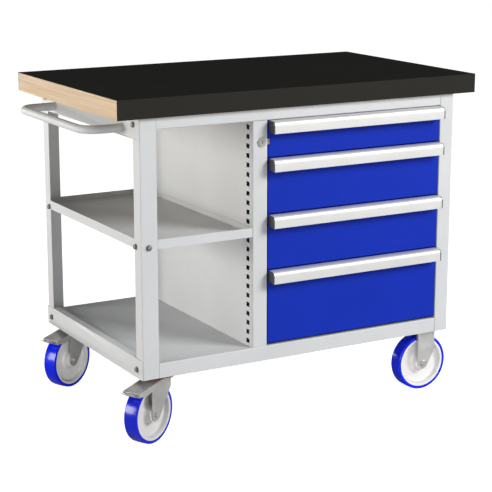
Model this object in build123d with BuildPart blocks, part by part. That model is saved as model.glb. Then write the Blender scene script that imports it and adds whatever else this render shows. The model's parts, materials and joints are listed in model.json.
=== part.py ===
"""Mobile workbench: a drawer cabinet and open shelves under a covered worktop, on four castors."""
import os
from math import acos, atan2, cos, hypot, radians, sin, sqrt

from build123d import *

os.makedirs("parts", exist_ok=True)

# ---------------------------------------------------------------------------
# Driving dimensions, in millimetres
# ---------------------------------------------------------------------------
# Frame: a folded sheet-steel carcass
frame_width = 963.0
frame_depth = 628.0
frame_height = 678.0
sheet = 1.5
heavy_sheet = 2.0
bend_radius = 3.0
joint_gap = 0.5

# Worktop
overhang_x = 62.5
overhang_y = 12.5
core_thickness = 50.0
cover_thickness = 1.5

# Uprights, rails and side plates
leg_width = 48.5
leg_depth = 38.0
rail_height = 31.0
rail_lip = 20.0
base_height = 40.0
base_side_height = 52.0
upper_side_height = 55.0
side_plate_lip = 20.0
column_width = 44.0
column_depth = 40.0
divider_offset = 325.0

# Shelf tray of the open compartment
shelf_underside = 342.0
shelf_lip_height = 25.0
shelf_floor_height = 9.5

# Slotted rows in the divider, which carry the shelf
slot_pitch = 25.0
slot_height = 12.0
slot_width = 16.0
slot_inset = 26.0
slot_first = 54.5

# Drawers: the upper ones from the top down, and the lowest takes the height that is left
drawer_pitches = (100.0, 150.0, 150.0)
drawer_floor_gap = 6.5
drawer_gap = 3.0
drawer_side_gap = 2.0
drawer_face_inset = 0.5
front_thickness = 15.0
box_back_gap = 51.0
box_drop = 28.0
box_lift = 6.0
box_sheet = 1.5

# Drawer slides
slide_space = 13.0
slide_start = 20.0
slide_back_gap = 46.5
slide_height = 30.0
slide_reach = 9.0
slide_clearance = 0.6
slide_lift = 18.0

# Grip profile across each drawer front
grip_height = 32.0
grip_depth = 28.0
grip_wall = 2.5
grip_radius = 13.0
grip_drop = 1.0
grip_flange_rise = 5.0
grip_side_inset = 1.0
cap_thickness = 3.5

# Push handle: a bent tube on the upper side plate
handle_radius = 11.0
handle_wall = 2.0
handle_reach = 103.0
handle_spacing = 436.0
handle_bend = 46.0
handle_drop = 35.0

# Lock beside the top drawer
lock_drop = 87.5
lock_radius = 9.0
lock_ring_radius = 12.5
lock_body_depth = 24.0
lock_body_width = 30.0
lock_offset = 26.5
lock_proud = 4.0
lock_face_height = 3.0
lock_ring_height = 2.0
key_slot_width = 2.4
key_slot_length = 10.0
key_slot_depth = 8.0
tongue_reach = 8.0
tongue_height = 15.0
tongue_depth = 6.0
tongue_round = 5.5
tongue_gap = 0.8

# Castors
wheel_radius = 80.0
wheel_width = 38.0
tyre_thickness = 9.0
tyre_shoulder = 4.5
tread_width = 20.9
tyre_gap = 5.0
rim_flange = 9.0
rim_slope = 6.0
hub_radius = 22.5
hub_width = 46.0
hub_draft = 2.0
hub_slope = 8.0
hub_foot = 5.0
web_thickness = 9.0
axle_radius = 5.0
castor_inset_y = 46.0
swivel_inset_x = 75.0
fixed_inset_x = 65.0
castor_trail = 55.0
swivel_angle = 27.0
plate_length = 110.0
plate_width = 82.0
plate_thickness = 4.0
plate_recess = 6.5
plate_hole_x = 93.0
plate_hole_y = 60.0
race_radius = 31.0
race_height = 8.5
seal_radius = 38.0
seal_gap = 0.3
kingpin_radius = 6.0
kingpin_nut_radius = 9.6
kingpin_nut_height = 3.0
head_radius = 34.0
fork_sheet = 3.0
fork_gap = 48.0
fork_foot_radius = 17.0
fixed_fork_width = 76.0
cheek_front = 8.0
cheek_shoulder = 26.0
hood_start = 30.0
hood_short = 8.0
hood_depth = 8.0
hood_lip = 4.8
hood_nose_run = 12.0
hood_nose_drop = 11.2
hood_heel_run = 28.0
hood_heel_drop = 14.4
running_gap = 0.05
face_gap = 1.0

# Fasteners
bolt_radius = 3.0
bolt_head_radius = 6.4
bolt_head_height = 4.2
washer_radius = 8.0
washer_thickness = 1.5
bolt_clearance = 0.25
bolt_length = 13.0
short_bolt_length = 8.0
nut_height = 5.0
axle_head_radius = 8.7
axle_head_height = 5.3
bolt_inset = 30.0
base_bolt_height = 23.0
upper_bolt_drop = 18.0
shelf_bolt_height = 6.0
drill_depth = 12.0

# Brake lever of each swivel castor
lever_pin_radius = 2.5
lever_pin_inset = 14.0
lever_pin_cover = 6.5
lever_shoe_gap = 0.62
lever_width = 42.0
lever_boss = 5.0
lever_sheet = 2.0
lever_blade_width = 30.0
lever_blade_start = 12.0
lever_tip = 37.0
lever_rise = 15.0
lever_shoe = 3.0

# ---------------------------------------------------------------------------
# Places that follow from them. The origin is on the floor, in the middle of the
# whole object; the front faces -Y and the push handle points to -X. The grips or
# the front brake lever, whichever reaches further, mark the front of the whole.
# ---------------------------------------------------------------------------
handle_outside = handle_reach + handle_radius
left = (handle_outside - frame_width - overhang_x) / 2
right = left + frame_width
hood_end = castor_trail + wheel_radius - hood_short
lever_pin_back = hood_end - lever_pin_inset
lever_end = (lever_pin_back + lever_tip) * sin(radians(swivel_angle))
lever_corner = lever_blade_width / 2 * cos(radians(swivel_angle))
front_reach = max(grip_depth, lever_end + lever_corner - castor_inset_y)
front = (front_reach - frame_depth - overhang_y) / 2
rear = front + frame_depth

# The castors carry the frame: the wheel, the fork over it, the ball race and the plate
wheel_z = wheel_radius
fork_top = 2 * wheel_radius + tyre_gap + fork_sheet
castor_top = fork_top + face_gap + race_height + plate_thickness
base_z = castor_top - plate_recess
top_z = base_z + frame_height
fork_outer = fork_gap + 2 * fork_sheet
lever_pin_orbit = wheel_radius + lever_shoe_gap + lever_shoe + lever_boss
lever_pin_z = wheel_z + sqrt(lever_pin_orbit**2 - (lever_pin_back - castor_trail) ** 2)
hood_drop = fork_top - lever_pin_z - lever_pin_cover

side_inner = left + heavy_sheet
divider_x = left + divider_offset
opening_left = divider_x + column_width
opening_right = right - column_width
rail_z = top_z - rail_height
floor_z = base_z + base_height
shelf_z = base_z + shelf_underside
stack_top = rail_z - joint_gap
front_castor_y = front + castor_inset_y
rear_castor_y = rear - castor_inset_y
box_left = opening_left + slide_space
box_right = opening_right - slide_space
front_x = (opening_left + drawer_side_gap, opening_right - drawer_side_gap)
front_y = (front + drawer_face_inset, front + drawer_face_inset + front_thickness)
box_y = (front_y[1], rear - sheet - box_back_gap)
slide_y = (front + slide_start, rear - sheet - slide_back_gap)
slot_count = int((rail_z - base_z - slot_first - slot_height) // slot_pitch) + 1


# ---------------------------------------------------------------------------
# Shared helpers
# ---------------------------------------------------------------------------
def save(part, name):
    """Label a finished piece and write it under its own name."""
    part.label = name
    export_step(part, f"parts/{name}.step")


def slab(x, y, z, mode=Mode.ADD):
    """Add a block to the open part, from its low and high side along each axis."""
    with Locations(((x[0] + x[1]) / 2, (y[0] + y[1]) / 2, (z[0] + z[1]) / 2)):
        Box(x[1] - x[0], y[1] - y[0], z[1] - z[0], mode=mode)


def folded_section(plane, points, length, outer_corners=()):
    """Extrude a closed sheet outline along a plane's normal, with rounded outer bends."""
    with BuildPart() as folded:
        with BuildSketch(plane) as section:
            with BuildLine():
                Polyline(*points, close=True)
            make_face()
            for corner in outer_corners:
                fillet(section.vertices().sort_by_distance(corner)[0], bend_radius)
        extrude(amount=length)
    return folded.part


def prism(outline, z, inset=0.0):
    """A block over a closed outline, between two heights, with its sides moved in."""
    with BuildPart() as block:
        with BuildSketch(Plane.XY.offset(z[0])):
            with BuildLine():
                Polyline(*outline, close=True)
            make_face()
            if inset:
                offset(amount=-inset, kind=Kind.INTERSECTION)
        extrude(amount=z[1] - z[0])
    return block.part


def drilled(part, planes, radius, depth):
    """Return the part with a round hole along the normal of each plane, both ways."""
    with BuildPart() as body:
        add(part)
        for plane in planes:
            with BuildSketch(plane):
                Circle(radius)
            extrude(amount=depth, both=True, mode=Mode.SUBTRACT)
    return body.part


# ---------------------------------------------------------------------------
# Bolt places: each plane lies on the outer face and looks out of the frame
# ---------------------------------------------------------------------------
base_bolt_z = base_z + base_bolt_height
upper_bolt_z = top_z - upper_bolt_drop
shelf_bolt_z = shelf_z + shelf_bolt_height
front_bolt_x = left + leg_width / 2


def side_plane(x, y, z):
    """A plane on the left side of the frame, facing away from it."""
    return Plane(origin=(x, y, z), x_dir=(0, 1, 0), z_dir=(-1, 0, 0))


bolt_rows = (front + bolt_inset, rear - bolt_inset)
base_bolts = [side_plane(left, y, base_bolt_z) for y in bolt_rows]
upper_bolts = [side_plane(left, y, upper_bolt_z) for y in bolt_rows]
shelf_side_bolts = [side_plane(side_inner, y, shelf_bolt_z) for y in bolt_rows]
shelf_front_bolt = Plane(origin=(front_bolt_x, front, shelf_bolt_z), x_dir=(1, 0, 0), z_dir=(0, -1, 0))
shelf_rear_bolt = Plane(origin=(front_bolt_x, rear, shelf_bolt_z), x_dir=(1, 0, 0), z_dir=(0, 1, 0))
shelf_bolts = shelf_side_bolts + [shelf_front_bolt, shelf_rear_bolt]
hole_radius = bolt_radius + bolt_clearance


# ---------------------------------------------------------------------------
# Worktop
# ---------------------------------------------------------------------------
def make_worktop():
    """A laminated board, and the dark covering folded over its front and rear edges."""
    x = (left - overhang_x, right + overhang_x)
    y = (front - overhang_y, rear + overhang_y)
    core_y = (y[0] + cover_thickness, y[1] - cover_thickness)
    core_z = (top_z, top_z + core_thickness)
    with BuildPart() as worktop_core:
        slab(x, core_y, core_z)
    save(worktop_core.part, "worktop_core")
    with BuildPart() as worktop_cover:
        slab(x, y, (top_z, core_z[1] + cover_thickness))
        slab(x, core_y, core_z, mode=Mode.SUBTRACT)
        top_edges = worktop_cover.edges().filter_by(Axis.X).group_by(Axis.Z)[-1]
        fillet(top_edges, cover_thickness)
    save(worktop_cover.part, "worktop_cover")


# ---------------------------------------------------------------------------
# Frame
# ---------------------------------------------------------------------------
def make_leg(name, corner_y, inward):
    """An angle upright; inward is +1 at the front and -1 at the rear."""
    outer = (side_inner, corner_y)
    points = [
        outer,
        (left + leg_width, corner_y),
        (left + leg_width, corner_y + inward * heavy_sheet),
        (side_inner + heavy_sheet, corner_y + inward * heavy_sheet),
        (side_inner + heavy_sheet, corner_y + inward * leg_depth),
        (side_inner, corner_y + inward * leg_depth),
    ]
    leg = folded_section(Plane.XY.offset(base_z), points, frame_height, [outer])
    save(drilled(leg, base_bolts + upper_bolts + shelf_bolts, hole_radius, drill_depth), name)


def make_side_plate(name, z, bolts):
    """A plate across the left end, outside the uprights, with a lip at its top between them."""
    with BuildPart() as side_plate:
        slab((left, side_inner), (front, rear), z)
        corners = side_plate.edges().filter_by(Axis.X)
        fillet(corners, bend_radius)
        lip_y = (front + leg_depth + joint_gap, rear - leg_depth - joint_gap)
        slab((left, left + side_plate_lip), lip_y, (z[1] - heavy_sheet, z[1]))
    save(drilled(side_plate.part, bolts, hole_radius, drill_depth), name)


def make_rails():
    """Channel rails that join the uprights and the cabinet under the worktop."""
    x = (left + leg_width + joint_gap, opening_right - joint_gap)
    for name, face_y, inward in (("top_rail_front", front, 1), ("top_rail_rear", rear, -1)):
        points = [
            (face_y, rail_z),
            (face_y + inward * rail_lip, rail_z),
            (face_y + inward * rail_lip, rail_z + sheet),
            (face_y + inward * sheet, rail_z + sheet),
            (face_y + inward * sheet, top_z - sheet),
            (face_y + inward * rail_lip, top_z - sheet),
            (face_y + inward * rail_lip, top_z),
            (face_y, top_z),
        ]
        rail = folded_section(Plane.YZ.offset(x[0]), points, x[1] - x[0], [(face_y, rail_z)])
        save(rail, name)


tray_step = heavy_sheet + joint_gap / 2


def tray_outline(x, y, right_side):
    """Outline of a tray whose left corners step in by one sheet behind the uprights."""
    notch_x = x[0] + leg_width - heavy_sheet + joint_gap / 2
    notch_y = y[0] + leg_depth + joint_gap
    near = [
        (x[0], notch_y),
        (x[0] + tray_step, notch_y),
        (x[0] + tray_step, y[0] + tray_step),
        (notch_x, y[0] + tray_step),
        (notch_x, y[0]),
    ]
    far = [(near_x, y[0] + y[1] - near_y) for near_x, near_y in reversed(near)]
    return near + right_side + far


def make_base_tray():
    """The cabinet floor: a pan with its sides folded down, notched round the uprights."""
    x = (side_inner + joint_gap / 2, right - sheet - joint_gap / 2)
    y = (front, rear)
    column_x = opening_right - joint_gap / 2
    step_y = (y[0] + tray_step, y[1] - tray_step)
    right_side = [
        (column_x, y[0]),
        (column_x, step_y[0]),
        (x[1], step_y[0]),
        (x[1], step_y[1]),
        (column_x, step_y[1]),
        (column_x, y[1]),
    ]
    outline = tray_outline(x, y, right_side)
    with BuildPart() as base_tray:
        add(prism(outline, (base_z, floor_z)))
        add(prism(outline, (base_z, floor_z - heavy_sheet), heavy_sheet), mode=Mode.SUBTRACT)
        rims = base_tray.edges().group_by(Axis.Z)[-1].filter_by(Axis.X).sort_by(Axis.Y)
        fillet([rims[0], rims[-1]], bend_radius)
    save(drilled(base_tray.part, base_bolts, hole_radius, drill_depth), "base_tray")


def make_castor_supports():
    """Two channels across the depth, under the floor, that the castor plates bolt to."""
    z = (castor_top, floor_z - heavy_sheet)
    y = (front_castor_y - plate_width / 2, rear_castor_y + plate_width / 2)
    with BuildPart() as castor_supports:
        for centre_x in (left + swivel_inset_x, right - fixed_inset_x):
            outer = (centre_x - plate_length / 2, centre_x + plate_length / 2)
            inner = (outer[0] + heavy_sheet, outer[1] - heavy_sheet)
            slab(outer, y, z)
            slab(inner, y, (z[0] + heavy_sheet, z[1]), mode=Mode.SUBTRACT)
            for castor_y in (front_castor_y, rear_castor_y):
                with BuildSketch(Plane.XY.offset(castor_top)):
                    with Locations((centre_x, castor_y)):
                        with GridLocations(plate_hole_x, plate_hole_y, 2, 2):
                            Circle(hole_radius)
                extrude(amount=heavy_sheet, mode=Mode.SUBTRACT)
    save(castor_supports.part, "castor_supports")


def make_shelf():
    """The middle shelf: a tray with a raised hem on all four sides."""
    x = (side_inner, divider_x - joint_gap)
    y = (front, rear)
    outline = tray_outline(x, y, [(x[1], y[0]), (x[1], y[1])])
    z = (shelf_z, shelf_z + shelf_lip_height)
    underside = (shelf_z, shelf_z + shelf_floor_height)
    pocket = (underside[1] + sheet, z[1])
    with BuildPart() as shelf_tray:
        add(prism(outline, z))
        add(prism(outline, underside, sheet), mode=Mode.SUBTRACT)
        add(prism(outline, pocket, sheet), mode=Mode.SUBTRACT)
    save(drilled(shelf_tray.part, shelf_bolts, hole_radius, drill_depth), "shelf_tray")


def make_divider():
    """The cabinet's left side: a web with folded columns and rows of shelf slots."""
    web = (divider_x, divider_x + sheet)
    z = (floor_z, rail_z)
    height = z[1] - z[0]
    profile = [
        (web[0], front),
        (opening_left, front),
        (opening_left, front + column_depth),
        (opening_left - sheet, front + column_depth),
        (opening_left - sheet, front + sheet),
        (web[1], front + sheet),
        (web[1], rear - sheet),
        (opening_left - sheet, rear - sheet),
        (opening_left - sheet, rear - column_depth),
        (opening_left, rear - column_depth),
        (opening_left, rear),
        (web[0], rear),
    ]
    corners = [(web[0], front), (web[0], rear), (opening_left, front)]
    panel = folded_section(Plane.XY.offset(z[0]), profile, height, corners)
    with BuildPart() as divider:
        add(panel)
        for row_y in (front + slot_inset, rear - slot_inset):
            for index in range(slot_count):
                centre_z = base_z + slot_first + index * slot_pitch
                half_y = slot_width / 2
                half_z = slot_height / 2
                slot_y = (row_y - half_y, row_y + half_y)
                slot_z = (centre_z - half_z, centre_z + half_z)
                slab((web[0] - sheet, web[1] + sheet), slot_y, slot_z, mode=Mode.SUBTRACT)
        add_lock_openings()
    save(divider.part, "cabinet_side_left")


def make_right_side():
    """The cabinet's right side: a full-height web folded into the front and rear columns."""
    web = (right - sheet, right)
    profile = [
        (web[1], front),
        (opening_right, front),
        (opening_right, front + column_depth),
        (opening_right + sheet, front + column_depth),
        (opening_right + sheet, front + sheet),
        (web[0], front + sheet),
        (web[0], rear - sheet),
        (opening_right + sheet, rear - sheet),
        (opening_right + sheet, rear - column_depth),
        (opening_right, rear - column_depth),
        (opening_right, rear),
        (web[1], rear),
    ]
    corners = [(web[1], front), (web[1], rear), (opening_right, front)]
    panel = folded_section(Plane.XY.offset(base_z), profile, frame_height, corners)
    notch = (opening_right - sheet, right - sheet)
    with BuildPart() as right_side:
        add(panel)
        slab(notch, (front + sheet, front + column_depth + sheet), (base_z, floor_z), mode=Mode.SUBTRACT)
        slab(notch, (rear - column_depth - sheet, rear - sheet), (base_z, floor_z), mode=Mode.SUBTRACT)
    save(right_side.part, "cabinet_side_right")


def make_back():
    """The cabinet's back sheet, between the rear columns."""
    x = (opening_left + joint_gap, opening_right - joint_gap)
    y = (rear - sheet, rear)
    with BuildPart() as cabinet_back:
        slab(x, y, (floor_z, rail_z - joint_gap))
    save(cabinet_back.part, "cabinet_back")


def make_push_handle():
    """A tube bent twice, standing out from the upper side plate."""
    z = top_z - handle_drop
    centre_y = (front + rear) / 2
    y = (centre_y - handle_spacing / 2, centre_y + handle_spacing / 2)
    tip = left - handle_reach
    corners = [(left, y[0], z), (tip, y[0], z), (tip, y[1], z), (left, y[1], z)]
    with BuildPart() as push_handle:
        with BuildLine() as route:
            FilletPolyline(*corners, radius=handle_bend)
        with BuildSketch(side_plane(left, y[0], z)):
            Circle(handle_radius)
            Circle(handle_radius - handle_wall, mode=Mode.SUBTRACT)
        sweep(path=route.wire())
    save(push_handle.part, "push_handle")


def make_frame_bolts():
    """Hexagon bolts: nuts close the base and upper ones, and the shelf's are tapped into it."""
    with BuildPart() as frame_bolts:
        for plane in base_bolts:
            add(bolt_solid(plane, bolt_length, 3 * heavy_sheet + joint_gap))
        for plane in upper_bolts:
            add(bolt_solid(plane, bolt_length, 2 * heavy_sheet))
        for plane in shelf_bolts:
            add(bolt_solid(plane, short_bolt_length, None))
    save(frame_bolts.part, "frame_bolts")


def bolt_solid(plane, length, grip):
    """A washer, head and shank along a plane's normal, with a nut past the grip if there is one."""
    with BuildPart() as bolt:
        with BuildSketch(plane):
            Circle(washer_radius)
        extrude(amount=washer_thickness)
        with BuildSketch(plane.offset(washer_thickness)):
            RegularPolygon(bolt_head_radius, 6)
        extrude(amount=bolt_head_height)
        with BuildSketch(plane):
            Circle(bolt_radius)
        extrude(amount=-length)
        if grip:
            with BuildSketch(plane.offset(-grip)):
                RegularPolygon(bolt_head_radius, 6)
            extrude(amount=-nut_height)
    return bolt.part


# ---------------------------------------------------------------------------
# Lock
# ---------------------------------------------------------------------------
lock_x = divider_x + lock_offset
lock_z = top_z - lock_drop
lock_plane = Plane(origin=(lock_x, front, lock_z), x_dir=(1, 0, 0), z_dir=(0, -1, 0))
tongue_y = (front + sheet + joint_gap, front + sheet + joint_gap + tongue_depth)
tongue_z = (lock_z - tongue_height / 2, lock_z + tongue_height / 2)
lock_bore = lock_radius + running_gap


def add_lock_openings():
    """Cut the lock's round hole and its tongue's slot in the open divider part."""
    with Locations(lock_plane.location):
        Cylinder(lock_radius + joint_gap, column_depth, mode=Mode.SUBTRACT)
    slot_y = (tongue_y[0] - joint_gap, tongue_y[1] + joint_gap)
    slot_z = (tongue_z[0] - joint_gap, tongue_z[1] + joint_gap)
    slab((opening_left - 2 * sheet, opening_left + sheet), slot_y, slot_z, mode=Mode.SUBTRACT)


def make_lock():
    """A cylinder lock: its housing clamps the column, and its tongue reaches past it."""
    half_width = lock_body_width / 2
    body_x = (lock_x - half_width, opening_left - 2 * sheet)
    body_y = (front + sheet, front + lock_body_depth)
    body_z = (lock_z - half_width, lock_z + half_width)
    with BuildPart() as lock_housing:
        slab(body_x, body_y, body_z)
        slab((body_x[1], opening_left + tongue_reach), tongue_y, tongue_z)
        tip = lock_housing.edges().filter_by(Axis.Y).group_by(Axis.X)[-1]
        fillet(tip, tongue_round)
        with BuildSketch(lock_plane):
            Circle(lock_radius + joint_gap / 2 + running_gap)
        extrude(amount=-sheet)
        with BuildSketch(lock_plane):
            Circle(lock_ring_radius)
        extrude(amount=lock_ring_height)
        with BuildSketch(lock_plane.offset(lock_proud)):
            Circle(lock_bore)
        extrude(amount=-lock_body_depth - lock_proud, mode=Mode.SUBTRACT)
    save(lock_housing.part, "lock_housing")
    with BuildPart() as lock_cylinder:
        with BuildSketch(lock_plane.offset(lock_face_height)):
            Circle(lock_radius)
        extrude(amount=-lock_body_depth - lock_face_height)
        with BuildSketch(lock_plane.offset(lock_face_height)):
            Rectangle(key_slot_width, key_slot_length)
        extrude(amount=-key_slot_depth, mode=Mode.SUBTRACT)
    save(lock_cylinder.part, "lock_cylinder")


# ---------------------------------------------------------------------------
# Drawers
# ---------------------------------------------------------------------------
def drawer_levels():
    """The low and high edge of each drawer front, from the top one down."""
    levels = []
    edge = stack_top
    for pitch in drawer_pitches:
        levels.append((edge - pitch + drawer_gap, edge))
        edge -= pitch
    levels.append((floor_z + drawer_floor_gap, edge))
    return levels


def make_drawer(number, low, high):
    """One drawer: its hollow-backed front, its open box, its grip and the grip's end caps."""
    with BuildPart() as drawer_front:
        slab(front_x, front_y, (low, high))
        fillet(drawer_front.edges().group_by(Axis.Y)[0], sheet)
        inner_x = (front_x[0] + sheet, front_x[1] - sheet)
        slab(inner_x, (front_y[0] + sheet, front_y[1]), (low + sheet, high - sheet), mode=Mode.SUBTRACT)
        if low < tongue_z[0] < high:
            notch_x = (front_x[0] - sheet, opening_left + tongue_reach + tongue_gap)
            notch_z = (tongue_z[0] - tongue_gap, tongue_z[1] + tongue_gap)
            slab(notch_x, (front_y[0] - sheet, front_y[1] + sheet), notch_z, mode=Mode.SUBTRACT)
    save(drawer_front.part, f"drawer_{number}_front")

    box_z = (low + box_lift, high - box_drop)
    slide_z = low + slide_lift
    with BuildPart() as drawer_box:
        slab((box_left, box_right), box_y, box_z)
        inside_x = (box_left + box_sheet, box_right - box_sheet)
        inside_y = (box_y[0] + box_sheet, box_y[1] - box_sheet)
        slab(inside_x, inside_y, (box_z[0] + box_sheet, box_z[1] + box_sheet), mode=Mode.SUBTRACT)
        for wall_x, outward in ((box_left, -1), (box_right, 1)):
            add_runner(wall_x, outward, slide_z)
    save(drawer_box.part, f"drawer_{number}_box")

    grip_top = high - grip_drop
    grip_x = (front_x[0] + grip_side_inset, front_x[1] - grip_side_inset)
    profile_x = (grip_x[0] + cap_thickness, grip_x[1] - cap_thickness)
    save(grip_profile(profile_x, grip_top), f"drawer_{number}_grip")
    with BuildPart() as end_caps:
        for start_x in (grip_x[0], profile_x[1]):
            add(grip_cap(start_x, grip_top))
    save(end_caps.part, f"drawer_{number}_end_caps")


def grip_profile(x, top):
    """The grip: a fixing flange, a flat top and a rounded nose with a finger gap under it."""
    face_y = front_y[0]
    nose_y = front - grip_depth
    inner_nose = nose_y + grip_wall
    low = top - grip_height
    flange_low = low + grip_flange_rise
    with BuildPart() as grip:
        with BuildSketch(Plane.YZ.offset(x[0])):
            with BuildLine():
                Polyline(
                    (nose_y + grip_radius, top), (face_y, top), (face_y, flange_low),
                    (face_y - grip_wall, flange_low), (face_y - grip_wall, top - grip_wall),
                    (nose_y + grip_radius, top - grip_wall),
                )
                RadiusArc((nose_y + grip_radius, top - grip_wall), (inner_nose, top - grip_radius),
                          -(grip_radius - grip_wall))
                Polyline(
                    (inner_nose, top - grip_radius), (inner_nose, low), (nose_y, low),
                    (nose_y, top - grip_radius),
                )
                RadiusArc((nose_y, top - grip_radius), (nose_y + grip_radius, top), grip_radius)
            make_face()
        extrude(amount=x[1] - x[0])
    return grip.part


def grip_cap(x, top):
    """A moulded plug that closes one end of the grip, slightly inside its outline."""
    face_y = front_y[0]
    nose_y = front - grip_depth
    low = top - grip_height
    with BuildPart() as cap:
        with BuildSketch(Plane.YZ.offset(x)):
            with BuildLine():
                Polyline(
                    (nose_y + grip_radius, top), (face_y, top), (face_y, low + grip_flange_rise),
                    (nose_y, low), (nose_y, top - grip_radius),
                )
                RadiusArc((nose_y, top - grip_radius), (nose_y + grip_radius, top), grip_radius)
            make_face()
        extrude(amount=cap_thickness)
    return cap.part


def channel(wall_x, outward, start, half_height, centre_z):
    """Add a slide channel to the open part: its web stands off the box and it opens inwards."""
    web = sorted((wall_x + outward * start, wall_x + outward * (start - sheet)))
    flange = sorted((wall_x + outward * start, wall_x + outward * (start - slide_reach)))
    z = (centre_z - half_height, centre_z + half_height)
    slab(web, slide_y, z)
    slab(flange, slide_y, (z[0], z[0] + sheet))
    slab(flange, slide_y, (z[1] - sheet, z[1]))


cabinet_half = slide_height / 2
middle_half = cabinet_half - sheet - slide_clearance
runner_half = middle_half - sheet - slide_clearance
middle_start = slide_space - sheet - slide_clearance
runner_reach = middle_start - 3 * sheet - slide_clearance


def add_runner(wall_x, outward, centre_z):
    """Add the drawer's own runner to its box wall: a channel that opens outwards."""
    web = sorted((wall_x, wall_x + outward * sheet))
    flange = sorted((wall_x, wall_x + outward * runner_reach))
    z = (centre_z - runner_half, centre_z + runner_half)
    y = (slide_y[0], box_y[1])
    slab(web, y, z)
    slab(flange, y, (z[0], z[0] + sheet))
    slab(flange, y, (z[1] - sheet, z[1]))


def make_slides(levels):
    """The fixed slide channels of the cabinet, and each drawer's pair of middle channels."""
    with BuildPart() as cabinet_rails:
        for low, high in levels:
            for wall_x, outward in ((box_left, -1), (box_right, 1)):
                channel(wall_x, outward, slide_space, cabinet_half, low + slide_lift)
    save(cabinet_rails.part, "cabinet_rails")
    for number, (low, high) in enumerate(levels, 1):
        with BuildPart() as middle_slides:
            for wall_x, outward in ((box_left, -1), (box_right, 1)):
                channel(wall_x, outward, middle_start, middle_half, low + slide_lift)
        save(middle_slides.part, f"drawer_{number}_slides")


# ---------------------------------------------------------------------------
# Castors
# ---------------------------------------------------------------------------
axle_bore = axle_radius + running_gap


def castor_plane(x, y, angle):
    """A plane on the castor's axis at floor level; its local +X is the leading side."""
    heading = (cos(radians(angle)), sin(radians(angle)), 0)
    return Plane(origin=(x, y, 0), x_dir=heading, z_dir=(0, 0, 1))


def side_view(plane, offset_y):
    """A plane that shows a castor from its side: local X along its heading and local Y up."""
    origin = plane.from_local_coords(Vector(0, offset_y, 0))
    return Plane(origin=origin, x_dir=plane.x_dir, z_dir=-plane.y_dir)


def axle_view(plane, trail):
    """The side view, moved onto the wheel's axle at the middle of the castor."""
    origin = plane.from_local_coords(Vector(-trail, 0, wheel_z))
    return Plane(origin=origin, x_dir=plane.x_dir, z_dir=-plane.y_dir)


def wheel_section(plane, trail):
    """A level plane through the wheel's axle, to turn the wheel's section about it."""
    return Plane(origin=axle_view(plane, trail).origin, x_dir=plane.x_dir, z_dir=(0, 0, 1))


def level_plane(plane, z):
    """A plane on the castor's axis at a height, with the castor's heading."""
    return Plane(origin=plane.origin + Vector(0, 0, z), x_dir=plane.x_dir, z_dir=(0, 0, 1))


def wheel_rim(plane, trail):
    """The wheel centre: hub, thin web and rim, turned about the axle."""
    half_hub = hub_width / 2
    half_rim = wheel_width / 2
    half_web = web_thickness / 2
    rim_outer = wheel_radius - tyre_thickness
    rim_inner = rim_outer - rim_flange
    half_section = [
        (rim_outer, half_rim),
        (rim_inner, half_rim),
        (rim_inner - rim_slope, half_web),
        (hub_radius + hub_slope, half_web),
        (hub_radius + hub_draft, half_web + hub_foot),
        (hub_radius, half_hub),
        (axle_bore, half_hub),
    ]
    other_half = [(radius, -side) for radius, side in reversed(half_section)]
    section = wheel_section(plane, trail)
    with BuildPart() as rim:
        with BuildSketch(section):
            with BuildLine():
                Polyline(*half_section, *other_half, close=True)
            make_face()
        revolve(axis=Axis(section.origin, plane.y_dir))
    return rim.part


def wheel_tyre(plane, trail):
    """The tyre: a tread ring with a crowned face, moulded onto the rim."""
    half = wheel_width / 2
    inner = wheel_radius - tyre_thickness
    shoulder = wheel_radius - tyre_shoulder
    section = wheel_section(plane, trail)
    with BuildPart() as tyre:
        with BuildSketch(section):
            with BuildLine():
                Polyline(
                    (shoulder, half), (inner, half), (inner, -half), (shoulder, -half),
                    (wheel_radius, -tread_width / 2), (wheel_radius, tread_width / 2), close=True,
                )
            make_face()
        revolve(axis=Axis(section.origin, plane.y_dir))
    return tyre.part


def tangent_point(centre, radius, outside):
    """Where the lower line from an outside point touches a circle."""
    reach_x = outside[0] - centre[0]
    reach_z = outside[1] - centre[1]
    turn = atan2(reach_z, reach_x) - acos(radius / hypot(reach_x, reach_z))
    return (centre[0] + radius * cos(turn), centre[1] + radius * sin(turn))


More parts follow.
